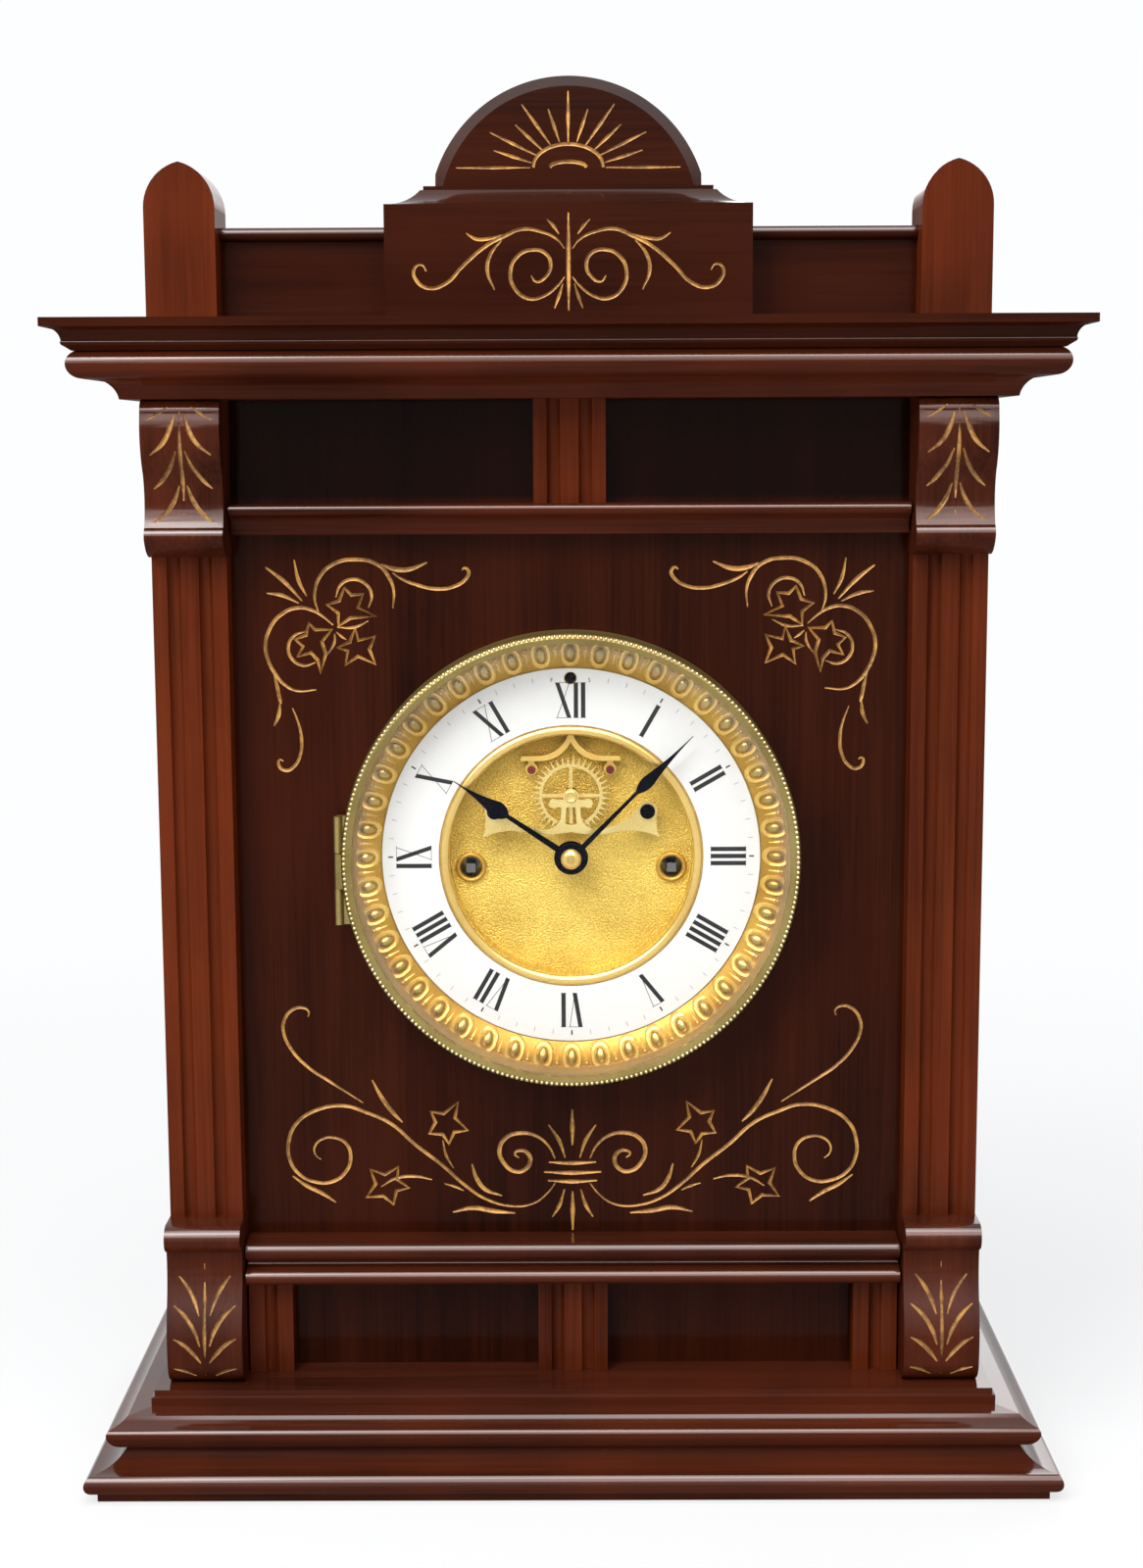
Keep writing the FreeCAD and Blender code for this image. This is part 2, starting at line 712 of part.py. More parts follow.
# Strip from a knuckle to the wall of the sash or the bezel
def hinge_tongue(z0, z1, d0, d1):
    reach = math.sqrt(SASH_R ** 2 - (BEZEL_HINGE_DROP + BEZEL_HINGE_L / 2) ** 2)
    tongue = block(bezel_axis_x() - 0.6, 1.0 - reach, at(d0), at(d1), z0, z1)
    return tongue.cut(rod((0, 0), d0 - 1, d1 + 1, SASH_R - 1.0))


def make_bezel():
    r_in = SASH_R - BEZEL_T
    lip_back = BEZEL_FRONT + GLASS_EDGE_T + 0.4
    points = [(r_in, BEZEL_BACK), (SASH_R, BEZEL_BACK), (SASH_R, BEZEL_FRONT + 2.7)]
    points += [(SASH_R - 1.8, BEZEL_FRONT, SASH_R - 0.5, BEZEL_FRONT + 0.8)]
    points += [(SASH_R - LIP_W, BEZEL_FRONT + 0.3), (SASH_R - LIP_W, lip_back), (r_in, lip_back)]
    z0, z1 = bezel_knuckles()[1]
    z0 += KNUCKLE_GAP
    z1 -= KNUCKLE_GAP
    tongue = hinge_tongue(z0, z1, BEZEL_BACK - 3.0, BEZEL_BACK)
    solid = joined([turned(points), bezel_knuckle(z0, z1), tongue])
    return solid.cut(post(bezel_axis_x(), at(BEZEL_BACK), z0 - 1, z1 + 1, HINGE_PIN_R + PIVOT_FIT))


def make_bezel_glass():
    r = SASH_R - BEZEL_T - GLASS_FIT
    seat = BEZEL_FRONT + GLASS_EDGE_T + 0.4 + JOINT_GAP
    front = seat + GLASS_EDGE_T - GLASS_T
    back = seat + GLASS_EDGE_T
    r_lip = SASH_R - LIP_W - GLASS_FIT
    points = [(0, front), (r_lip - GLASS_BEVEL, front), (r_lip, seat), (r, seat), (r, back), (0, back)]
    return turned(points)


# Moulded ring with a row of eggs round it
def make_egg_ring():
    seat = SHELF_FRONT
    r_out = SASH_R - SASH_T - JOINT_GAP
    r_in = CHAPTER_OUT_R + RING_GAP
    points = [(r_in, seat), (r_in, seat - 0.8), (r_out - 3.0, seat - 3.6, r_in + 3.4, seat - 2.8)]
    points += [(r_out - 2.6, seat - 5.0), (r_out, seat - 5.0), (r_out, -FLANGE_T)]
    points += [(DRUM_R + 0.2, -FLANGE_T), (DRUM_R + 0.2, seat)]
    base = turned(points)
    eggs = []
    r_mid = (r_in + r_out - 3.0) / 2
    for i in range(EGG_COUNT):
        turn = 2 * math.pi * i / EGG_COUNT
        spot = Vector(r_mid * math.sin(turn), at(seat - EGG_R), DIAL_Z + r_mid * math.cos(turn))
        eggs.append(Part.makeSphere(EGG_R, spot, Y_AXIS))
    return base.multiFuse(eggs)


def make_chapter_ring():
    plate = ring((0, 0), SHELF_FRONT - CHAPTER_T, SHELF_FRONT, CHAPTER_IN_R, CHAPTER_OUT_R)
    return plate.cut(rod((0, REGULATOR_Z), -9, 9, REGULATOR_R + 1.0))


def make_inner_ring():
    r_out = CHAPTER_IN_R - 0.2
    front = SHELF_FRONT - CHAPTER_T - 0.7
    mid = (INNER_RING_R + r_out) / 2
    points = [(INNER_RING_R, SHELF_FRONT), (INNER_RING_R, front + 1.0)]
    points += [(r_out, front + 1.0, mid, front), (r_out, SHELF_FRONT)]
    return turned(points)


def make_centre_plate():
    back = PLATE_FRONT + PLATE_T
    pieces = [rod((0, 0), PLATE_FRONT, back, PLATE_R)]
    pieces.append(ring((0, 0), SHELF_FRONT + 0.1, back, INNER_RING_R - 0.2, PLATE_R))
    for x in (-WIND_X, WIND_X):
        pieces.append(rod((x, -WIND_DROP), PLATE_FRONT - 0.8, back, EYELET_R))
    plate = joined(pieces)
    for x in (-WIND_X, WIND_X):
        plate = plate.cut(rod((x, -WIND_DROP), PLATE_FRONT - 2, back + 1, EYELET_BORE_R))
    plate = plate.cut(rod((0, 0), PLATE_FRONT - 1, back + 1, PIPE_R + 0.8))
    plate = plate.cut(rod((0, ESCAPE_Z), PLATE_FRONT - 1, back + 1, ARBOR_R + 1.2))
    notch = block(-9, 9, at(SHELF_FRONT), at(PLATE_FRONT), DIAL_Z + INNER_RING_R - 6, DIAL_Z + PLATE_R)
    return plate.cut(notch)


# Hands

# Spear-shaped hand with a round hub, turned to its angle on the dial
def hand(length, hub_r, bore_r, depth, angle, stem, spear):
    base, widest, half = spear
    root = stem[0] / 2
    end = stem[1] / 2
    bulge = ((end + half) / 2 + 0.35, base + (widest - base) * 0.35)
    waist = (half * 0.36, widest + (length - widest) * 0.45)
    right = [(root, 0), (end, base), (half, widest) + bulge, (0.12, length) + waist]
    left = [(-0.12, length), (-half, widest, -waist[0], waist[1])]
    left += [(-end, base, -bulge[0], bulge[1]), (-root, 0)]
    points = [(x, DIAL_Z + z) if not more else (x, DIAL_Z + z, more[0], DIAL_Z + more[1])
              for x, z, *more in right + left]
    blade = run_y(points, at(depth), at(depth + HAND_T))
    solid = blade.fuse(rod((0, 0), depth, depth + HAND_T, hub_r)).removeSplitter()
    solid = solid.cut(rod((0, 0), depth - 1, depth + 1 + HAND_T, bore_r))
    solid.rotate(Vector(0, 0, DIAL_Z), Y_AXIS, angle)
    return solid


def make_minute_hand():
    spear = (32.5, 38.6, 2.1)
    return hand(MINUTE_LEN, MINUTE_HUB_R, CANNON_R + 0.02, MINUTE_DEPTH, MINUTE_ANGLE, (2.0, 1.1), spear)


def make_hour_hand():
    spear = (26.4, 31.0, 2.9)
    return hand(HOUR_LEN, HOUR_HUB_R, PIPE_R + 0.02, HOUR_DEPTH, HOUR_ANGLE, (2.4, 1.5), spear)


def make_hand_nut():
    front = MINUTE_DEPTH - 0.1 - NUT_H
    back = MINUTE_DEPTH - 0.1
    dome = [(CENTRE_R + PIVOT_FIT, back), (NUT_R, back), (NUT_R, back - 0.7)]
    dome += [(CENTRE_R + PIVOT_FIT, front, NUT_R - 0.9, front + 0.4)]
    return turned(dome)


# Wheels and pinions

# Where two arbors' circles of reach meet, on the chosen side of their line
def meet(first, r_first, second, r_second, side):
    dx = second[0] - first[0]
    dz = second[1] - first[1]
    span = math.hypot(dx, dz)
    along = (r_first ** 2 - r_second ** 2 + span ** 2) / (2 * span)
    off = side * math.sqrt(r_first ** 2 - along ** 2)
    return (first[0] + (along * dx - off * dz) / span, first[1] + (along * dz + off * dx) / span)


def reach(teeth, pinion, module):
    return (teeth + pinion) * module / 2


def bearing(spot, other):
    return math.atan2(other[1] - spot[1], other[0] - spot[0])


CENTRE = (0.0, 0.0)
ESCAPE = (0.0, ESCAPE_Z)
ANCHOR = (0.0, ANCHOR_Z)
TIME_WIND = (WIND_X, -WIND_DROP)
STRIKE_WIND = (-WIND_X, -WIND_DROP)
SECOND = meet(TIME_WIND, reach(GREAT_TEETH, SECOND_PINION_TEETH, GREAT_MODULE), CENTRE,
              reach(SECOND_TEETH, CENTRE_PINION_TEETH, SECOND_MODULE), 1)
THIRD = meet(CENTRE, reach(CENTRE_TEETH, THIRD_PINION_TEETH, CENTRE_MODULE), ESCAPE,
             reach(THIRD_TEETH, ESCAPE_PINION_TEETH, THIRD_MODULE), -1)


# Spot at a given reach and bearing from another
def off_from(spot, distance, degrees):
    turn = math.radians(degrees)
    return (spot[0] + distance * math.cos(turn), spot[1] + distance * math.sin(turn))


PIN = off_from(STRIKE_WIND, reach(GREAT_TEETH, PIN_PINION_TEETH, GREAT_MODULE), 80)
WARN = off_from(PIN, reach(PIN_TEETH, WARN_PINION_TEETH, PIN_MODULE), 45)
FLY = off_from(WARN, reach(WARN_TEETH, FLY_PINION_TEETH, WARN_MODULE), 140)
MINUTE_STUD = off_from(CENTRE, reach(MINUTE_TEETH, CANNON_TEETH, MOTION_MODULE), -90)
HOUR_MODULE = 2 * math.hypot(*MINUTE_STUD) / (MINUTE_PINION_TEETH + HOUR_TEETH)
HAMMER = (HAMMER_X, -HAMMER_DROP)


# Toothed disc with a gap between teeth facing the given bearing
def toothed(spot, d0, thick, teeth, module, facing):
    step = 2 * math.pi / teeth
    points = []
    for i in range(teeth):
        for share, rise in TOOTH:
            turn = facing + (i + 0.5 + share) * step
            radius = teeth * module / 2 + rise * module
            points.append(Vector(spot[0] + radius * math.cos(turn), at(d0),
                                 DIAL_Z + spot[1] + radius * math.sin(turn)))
    return Part.Face(Part.makePolygon(points + points[:1])).extrude(Y_AXIS * (at(d0 + thick) - at(d0)))


# Windows between the spokes of a wheel
def windows(spot, d0, thick, r_hub, r_rim, spokes, spoke_w):
    cuts = []
    for i in range(spokes):
        first = 2 * math.pi * i / spokes
        last = first + 2 * math.pi / spokes
        corners = []
        for radius in (r_hub, r_rim):
            half = spoke_w / 2 / radius
            for turn in (first + half, (first + last) / 2, last - half):
                x = spot[0] + radius * math.cos(turn)
                corners.append((x, DIAL_Z + spot[1] + radius * math.sin(turn)))
        points = [corners[0], corners[2] + corners[1], corners[5], corners[3] + corners[4]]
        cuts.append(run_y(points, at(d0 - 1), at(d0 + thick + 1)))
    return Part.makeCompound(cuts)


# Crossed-out wheel with a round hub
def wheel(spot, d0, thick, teeth, module, facing):
    rim = teeth * module / 2 - 1.25 * module
    disc = toothed(spot, d0, thick, teeth, module, facing)
    return disc.cut(windows(spot, d0, thick, WHEEL_HUB_R, rim - RIM_W, SPOKE_COUNT, SPOKE_W))


# Lantern pinion: pins between two round ends, one pin facing the bearing
def lantern(spot, d0, d1, pins, module, facing):
    radius = pins * module / 2
    pieces = [rod(spot, d0, d0 + PINION_CAP, radius + module)]
    pieces.append(rod(spot, d1 - PINION_CAP, d1, radius + module))
    for i in range(pins):
        turn = facing + 2 * math.pi * i / pins
        pin = (spot[0] + radius * math.cos(turn), spot[1] + radius * math.sin(turn))
        pieces.append(rod(pin, d0, d1, PINION_PIN_SHARE * module))
    return pieces


# Arbor between the plates with a thin pivot in each plate
def arbor(spot):
    inside = FRONT_PLATE + PLATE_THICK
    pieces = [rod(spot, inside + END_SHAKE, BACK_PLATE - END_SHAKE, ARBOR_R)]
    pieces.append(rod(spot, FRONT_PLATE, BACK_PLATE + PLATE_THICK, PIVOT_R))
    return pieces


# Lantern pinion that straddles the wheel driving it
def driven_pinion(spot, driver, d0, thick, pins, module):
    return lantern(spot, d0 - PINION_ROOM, d0 + thick + PINION_ROOM, pins, module, bearing(spot, driver))


def great_wheel(spot, driven, click_bearing):
    disc = wheel(spot, GREAT_DEPTH, GREAT_T, GREAT_TEETH, GREAT_MODULE, bearing(spot, driven))
    click = off_from(spot, RATCHET_R + 2.2, click_bearing)
    hub = rod(spot, GREAT_DEPTH - 1.5, GREAT_DEPTH + GREAT_T, HUB_R)
    boss = rod(click, GREAT_DEPTH, GREAT_DEPTH + GREAT_T + CLICK_R, CLICK_R)
    strut = rod(click, GREAT_DEPTH, GREAT_DEPTH + GREAT_T, 2 * CLICK_R)
    return joined([disc, hub, strut, boss]).cut(bore(spot, WIND_R + BIG_FIT))


def make_time_great_wheel():
    return great_wheel(TIME_WIND, SECOND, 90)


def make_strike_great_wheel():
    return great_wheel(STRIKE_WIND, PIN, 90)


def make_second_wheel():
    disc = wheel(SECOND, SECOND_DEPTH, WHEEL_T, SECOND_TEETH, SECOND_MODULE, bearing(SECOND, CENTRE))
    pinion = driven_pinion(SECOND, TIME_WIND, GREAT_DEPTH, GREAT_T, SECOND_PINION_TEETH, GREAT_MODULE)
    return joined([disc] + pinion + arbor(SECOND))


def make_centre_wheel():
    disc = wheel(CENTRE, CENTRE_DEPTH, WHEEL_T, CENTRE_TEETH, CENTRE_MODULE, bearing(CENTRE, THIRD))
    pinion = driven_pinion(CENTRE, SECOND, SECOND_DEPTH, WHEEL_T, CENTRE_PINION_TEETH, SECOND_MODULE)
    shaft = [rod(CENTRE, MINUTE_DEPTH - NUT_H, BACK_PLATE - END_SHAKE, CENTRE_R)]
    shaft.append(rod(CENTRE, BACK_PLATE - 1, BACK_PLATE + PLATE_THICK, PIVOT_R))
    return joined([disc] + pinion + shaft)


def make_third_wheel():
    disc = wheel(THIRD, THIRD_DEPTH, FAST_WHEEL_T, THIRD_TEETH, THIRD_MODULE, bearing(THIRD, ESCAPE))
    pinion = driven_pinion(THIRD, CENTRE, CENTRE_DEPTH, WHEEL_T, THIRD_PINION_TEETH, CENTRE_MODULE)
    return joined([disc] + pinion + arbor(THIRD))


def make_pin_wheel():
    disc = wheel(PIN, CENTRE_DEPTH, WHEEL_T, PIN_TEETH, PIN_MODULE, bearing(PIN, WARN))
    pinion = driven_pinion(PIN, STRIKE_WIND, GREAT_DEPTH, GREAT_T, PIN_PINION_TEETH, GREAT_MODULE)
    lifters = []
    for i in range(LIFTER_COUNT):
        spot = off_from(PIN, PIN_TEETH * PIN_MODULE / 2 - RIM_W, (i + 0.5) * 360 / LIFTER_COUNT)
        lifters.append(rod(spot, CENTRE_DEPTH, CENTRE_DEPTH + WHEEL_T + 0.9, LIFTER_R))
    return joined([disc] + pinion + lifters + arbor(PIN))


def make_warning_wheel():
    disc = wheel(WARN, THIRD_DEPTH, FAST_WHEEL_T, WARN_TEETH, WARN_MODULE, bearing(WARN, FLY))
    pinion = driven_pinion(WARN, PIN, CENTRE_DEPTH, WHEEL_T, WARN_PINION_TEETH, PIN_MODULE)
    return joined([disc] + pinion + arbor(WARN))


def make_fly():
    pinion = driven_pinion(FLY, WARN, THIRD_DEPTH, FAST_WHEEL_T, FLY_PINION_TEETH, WARN_MODULE)
    z = DIAL_Z + FLY[1]
    half = FLY_SPAN / 2
    blade = block(FLY[0] - half, FLY[0] + half, at(FLY_FRONT), at(FLY_BACK), z - FLY_T / 2,
                  z + FLY_T / 2)
    return joined(pinion + arbor(FLY) + [blade, rod(FLY, FLY_FRONT, FLY_BACK, FLY_HUB_R)])


# Winding arbor with its square end, ratchet and spring hub
def winding_arbor(spot):
    pieces = [rod(spot, FRONT_PLATE - 4, BACK_PLATE - END_SHAKE, WIND_R)]
    pieces.append(rod(spot, GREAT_DEPTH, BACK_PLATE + PLATE_THICK, WIND_PIVOT_R))
    half = WIND_SQUARE / 2
    z = DIAL_Z + spot[1]
    pieces.append(block(spot[0] - half, spot[0] + half, at(WIND_FRONT), at(FRONT_PLATE - 3),
                        z - half, z + half))
    points = []
    depth = GREAT_DEPTH + GREAT_T + 0.3
    for i in range(RATCHET_TEETH):
        for share, radius in ((0.0, RATCHET_R - 1.5), (0.12, RATCHET_R)):
            turn = 2 * math.pi * (i + share) / RATCHET_TEETH
            points.append((spot[0] + radius * math.cos(turn), z + radius * math.sin(turn)))
    pieces.append(run_y(points, at(depth), at(depth + 1.5)))
    return joined(pieces)


def make_time_winding_arbor():
    return winding_arbor(TIME_WIND)


def make_strike_winding_arbor():
    return winding_arbor(STRIKE_WIND)


# Middle line of a flat spiral: half turns about two centres, opening outwards
def spiral(start_r, step, half_turns):
    arcs = []
    for i in range(half_turns):
        centre = step if i % 2 else 0.0
        arcs.append((centre, start_r + i * step, 1 if i % 2 == 0 else -1))
    return arcs


# Least gap between neighbouring turns of a spiral of the given width
def spiral_gap(arcs, width):
    spots = []
    for centre, radius, side in arcs:
        for k in range(24):
            turn = math.pi * k / 24
            spots.append((centre + side * radius * math.cos(turn), side * radius * math.sin(turn)))
    least = 1e9
    for i, first in enumerate(spots):
        for second in spots[i + 24:]:
            least = min(least, math.dist(first, second))
    return least - width


# Widening of the mainspring per half turn
def spring_step():
    return (SPRING_R - SPRING_HUB_R) / (2 * SPRING_TURN_COUNT - 1)


# Where the spring's outer end hooks round a pillar
def hook_spot():
    return (WIND_X + spring_step() + SPRING_R - HOOK_R, PILLAR_INSET - PLATES_BOTTOM)


# Mainspring as a flat strip, from its hub to a hook round the frame pillar
def mainspring(spot):
    arcs = spiral(SPRING_HUB_R, spring_step(), 2 * SPRING_TURN_COUNT)
    print("mainspring least gap %.2f mm" % spiral_gap(arcs, SPRING_STRIP))
    x, z = spot[0], DIAL_Z + spot[1]
    hook_x, hook_z = hook_spot()[0], DIAL_Z + hook_spot()[1]
    edges = []
    ends = []
    for wall in (SPRING_STRIP / 2, -SPRING_STRIP / 2):
        bows = [(x + centre, z, side * (radius + wall)) for centre, radius, side in arcs]
        bows.append((hook_x, hook_z, HOOK_R + wall))
        for mid_x, mid_z, r in bows:
            track = [(mid_x + r, mid_z), (mid_x, mid_z - r), (mid_x - r, mid_z)]
            track = [Vector(a, at(SPRING_FRONT), b) for a, b in track]
            edges.append(Part.Arc(*track).toShape())
            ends.append(track)
        edges.append(Part.LineSegment(ends[-2][2], ends[-1][0]).toShape())
    count = len(ends) // 2
    edges.append(Part.LineSegment(ends[0][0], ends[count][0]).toShape())
    edges.append(Part.LineSegment(ends[count - 1][2], ends[-1][2]).toShape())
    width = at(SPRING_FRONT + SPRING_W) - at(SPRING_FRONT)
    return Part.Face(Part.Wire(Part.__sortEdges__(edges))).extrude(Y_AXIS * width)


def make_mainsprings():
    return pair(mainspring(TIME_WIND))


# Motion work behind the dial

def make_cannon_pinion():
    leaves = toothed(CENTRE, MOTION_DEPTH - 0.4, 2.0, CANNON_TEETH, MOTION_MODULE,
                     bearing(CENTRE, MINUTE_STUD) + math.pi / CANNON_TEETH)
    tube = rod(CENTRE, MINUTE_DEPTH - 0.1, MOTION_DEPTH + 1.6, CANNON_R)
    return leaves.fuse(tube).removeSplitter().cut(bore(CENTRE, CENTRE_R + BIG_FIT))


def make_minute_wheel():
    disc = wheel(MINUTE_STUD, MOTION_DEPTH, WHEEL_T, MINUTE_TEETH, MOTION_MODULE,
                 bearing(MINUTE_STUD, CENTRE))
    facing = bearing(MINUTE_STUD, CENTRE) + math.pi / MINUTE_PINION_TEETH
    leaves = toothed(MINUTE_STUD, HOUR_WHEEL_DEPTH - 0.4, MOTION_DEPTH - HOUR_WHEEL_DEPTH + 1.0,
                     MINUTE_PINION_TEETH, HOUR_MODULE, facing)
    return disc.fuse(leaves).removeSplitter().cut(bore(MINUTE_STUD, ARBOR_R + BIG_FIT))


def make_hour_wheel():
    disc = wheel(CENTRE, HOUR_WHEEL_DEPTH, WHEEL_T, HOUR_TEETH, HOUR_MODULE,
                 bearing(CENTRE, MINUTE_STUD))
    hub = rod(CENTRE, HOUR_WHEEL_DEPTH, HOUR_WHEEL_DEPTH + WHEEL_T, HUB_R)
    pipe = rod(CENTRE, HOUR_DEPTH - 0.2, HOUR_WHEEL_DEPTH + WHEEL_T, PIPE_R)
    return joined([disc, hub, pipe]).cut(bore(CENTRE, CANNON_R + BIG_FIT))


# Escapement in front of the centre plate

def make_escape_wheel():
    step = 2 * math.pi / ESCAPE_TEETH
    points = []
    for i in range(ESCAPE_TEETH):
        for share, radius in ((-0.24, ESCAPE_RIM_R), (-0.03, ESCAPE_TIP_R), (0.03, ESCAPE_TIP_R),
                              (0.24, ESCAPE_RIM_R)):
            turn = math.pi / 2 + (i + 0.5 + share) * step
            points.append((radius * math.cos(turn), DIAL_Z + ESCAPE_Z + radius * math.sin(turn)))
    disc = run_y(points, at(ESCAPE_DEPTH), at(ESCAPE_DEPTH + ESCAPE_T))
    disc = disc.cut(windows(ESCAPE, ESCAPE_DEPTH, ESCAPE_T, 2.4, ESCAPE_RIM_R - ESCAPE_RIM_W, 4, 1.2))
    pinion = driven_pinion(ESCAPE, THIRD, THIRD_DEPTH, FAST_WHEEL_T, ESCAPE_PINION_TEETH, THIRD_MODULE)
    shaft = [rod(ESCAPE, BRIDGE_DEPTH + BRIDGE_T + END_SHAKE, BACK_PLATE - END_SHAKE, ARBOR_R)]
    shaft.append(rod(ESCAPE, BRIDGE_DEPTH, BACK_PLATE + PLATE_THICK, PIVOT_R))
    shaft.append(rod(ESCAPE, ESCAPE_DEPTH - 0.6, ESCAPE_DEPTH + ESCAPE_T + 1.5, 1.9))
    return joined([disc] + pinion + shaft)


# Spots of the two pallet stones, clear of the tips of the escape wheel
def stone_spots():
    turn = math.radians(PALLET_SPAN * 180 / ESCAPE_TEETH)
    radius = ESCAPE_TIP_R + STONE_CLEAR + STONE_R
    x = radius * math.sin(turn)
    z = ESCAPE_Z + radius * math.cos(turn)
    return [(-x, z), (x, z)]


def make_anchor():
    x_stone, z_stone = stone_spots()[1]
    z_arm = z_stone + STONE_R + 2.4
    half = ARM_W / 2
    top = ANCHOR_Z - 2.0
    z = DIAL_Z
    upper = [(0.4, z + top), (x_stone - 2.4, z + z_arm + half, 4.9, z + z_arm + 3.0)]
    upper += [(x_stone + 3.4, z + z_arm + half), (x_stone + 3.9, z + z_arm - half)]
    upper += [(x_stone - 2.4, z + z_arm - half), (-0.6, z + top - 2.2, 4.1, z + z_arm + 1.1)]
    arm = run_y(upper, at(ANCHOR_DEPTH), at(ANCHOR_DEPTH + ANCHOR_T))
    holder = rod((x_stone, z_stone), ANCHOR_DEPTH + ESCAPE_T + 0.2, ANCHOR_DEPTH + ANCHOR_T, STONE_R + 0.7)
    stem = block(x_stone - 1.1, x_stone + 1.1, at(ANCHOR_DEPTH + ESCAPE_T + 0.2),
                 at(ANCHOR_DEPTH + ANCHOR_T), z + z_stone + STONE_R, z + z_arm)
    bore = rod((x_stone, z_stone), ANCHOR_DEPTH - 5, ANCHOR_DEPTH + ANCHOR_T + 5, STONE_R + 0.01)
    arm = joined([arm, holder, stem]).cut(bore)
    shaft = [rod(ANCHOR, ANCHOR_DEPTH, ANCHOR_DEPTH + ANCHOR_T, 2.6)]
    shaft.append(rod(ANCHOR, ANCHOR_DEPTH, BACK_PLATE + PLATE_THICK + 4.2, ARBOR_R))
    shaft.append(rod(ANCHOR, BACK_PLATE + PLATE_THICK + 1.0, BACK_PLATE + PLATE_THICK + 4.2, 2.2))
    return joined([arm, mirrored(arm)] + shaft + crutch())


# Crutch behind the back plate, with a fork round the pendulum rod
def crutch():
    d0 = BACK_PLATE + PLATE_THICK + 2.0
    low = DIAL_Z + ANCHOR_Z - CRUTCH_L
    wire = block(-0.7, 0.7, at(d0), at(d0 + 1.4), low, DIAL_Z + ANCHOR_Z)
    slot = ROD_R + CRUTCH_FIT
    back = PENDULUM_DEPTH + ROD_R + 0.8
    fork = block(-slot - 0.9, slot + 0.9, at(d0), at(back), low, low + 2.0)
    fork = fork.cut(block(-slot, slot, at(PENDULUM_DEPTH - ROD_R - 0.8), at(back + 1), low - 1, low + 3))
    return [wire, fork]


def make_pallet_stones():
    stones = []
    for spot in stone_spots():
        stones.append(rod(spot, ANCHOR_DEPTH + ANCHOR_T - STONE_L, ANCHOR_DEPTH + ANCHOR_T, STONE_R))
    return Part.makeCompound(stones)


def make_escape_bridge():
    z = DIAL_Z + ESCAPE_Z
    foot_z = z - FOOT_DROP
    x = FOOT_X
    points = [(1.5, z - 3.6), (3.3, z - 3.6), (3.5, z - 7.4), (11.0, z - 11.3, 5.6, z - 10.5)]
    points += [(x - 2.4, foot_z + 2.6, 19.3, z - 8.0), (x + FOOT_R, foot_z, x + 1.6, foot_z + 3.1)]
    points += [(x + 4.2, z - 14.4, x + 3.1, z - 9.6), (17.0, z - 12.2, x - 2.0, z - 12.3)]
    points += [(0, z - 12.4, 9.0, z - 13.2), (0, z - 10.2), (2.1, z - 9.6)]
    half = run_y(points, at(BRIDGE_DEPTH), at(BRIDGE_DEPTH + BRIDGE_T))
    pieces = [half, mirrored(half)]
    back = BRIDGE_DEPTH + BRIDGE_T
    pieces.append(rod(ESCAPE, BRIDGE_DEPTH, back, 2.7))
    pieces.append(block(-6.0, 6.0, at(BRIDGE_DEPTH), at(back), z - 3.7, z - 1.2))
    for side in (-1, 1):
        pieces.append(rod((side * 6.0, ESCAPE_Z - 2.45), BRIDGE_DEPTH, back, 1.6))
        pieces.append(rod((side * x, ESCAPE_Z - FOOT_DROP), BRIDGE_DEPTH, PLATE_FRONT, 2.8))
    solid = joined(pieces)
    for side in (-1, 1):
        solid = solid.cut(rod((side * x, ESCAPE_Z - FOOT_DROP), BRIDGE_DEPTH - 1, 3, 1.2 + 0.02))
    return solid.cut(rod(ESCAPE, BRIDGE_DEPTH - 1, back + 1, PIVOT_R + PIVOT_FIT))


def make_bridge_screws():
    screws = []
    for side in (-1, 1):
        spot = (side * FOOT_X, ESCAPE_Z - FOOT_DROP)
        head = rod(spot, BRIDGE_DEPTH - 1.1, BRIDGE_DEPTH, SCREW_R)
        z = DIAL_Z + spot[1]
        slot = block(spot[0] - 3, spot[0] + 3, at(BRIDGE_DEPTH - 2), at(BRIDGE_DEPTH - 0.6),
                     z - 0.35, z + 0.35)
        screws.append(head.fuse(rod(spot, BRIDGE_DEPTH, 2.6, 1.2)).removeSplitter().cut(slot))
    return Part.makeCompound(screws)


# Movement frame

def pillar_spots():
    x, low = hook_spot()
    high = PLATES_TOP - PILLAR_INSET
    return [(-x, low), (x, low), (-x, high), (x, high)]


def post_spots():
    return [off_from(CENTRE, POST_REACH, turn) for turn in (45, 135, 210, 330)]


def plate(depth, holes):
    half = PLATES_W / 2
    z0 = DIAL_Z - PLATES_BOTTOM
    z1 = DIAL_Z + PLATES_TOP
    cut = PLATE_CORNER
    points = [(-half, z0), (-half, z1 - cut), (-half + cut, z1), (half - cut, z1), (half, z1 - cut)]
    points.append((half, z0))
    solid = run_y(points, at(depth), at(depth + PLATE_THICK))
    bores = [rod(spot, depth - 1, depth + PLATE_THICK + 1, radius) for spot, radius in holes]
    for spot in pillar_spots():
        bores.append(rod(spot, depth - 1, depth + PLATE_THICK + 1, PILLAR_PIN_R + PRESS_FIT))
    for spot in (TIME_WIND, STRIKE_WIND):
        bores.append(windows(spot, depth, PLATE_THICK, PLATE_CORNER, PLATE_WINDOW_R, SPOKE_COUNT,
                             PLATE_CORNER))
    return solid.cut(Part.makeCompound(bores))


def train_pivots():
    return [(spot, PIVOT_R + PIVOT_FIT) for spot in (SECOND, THIRD, PIN, WARN, FLY, HAMMER)]


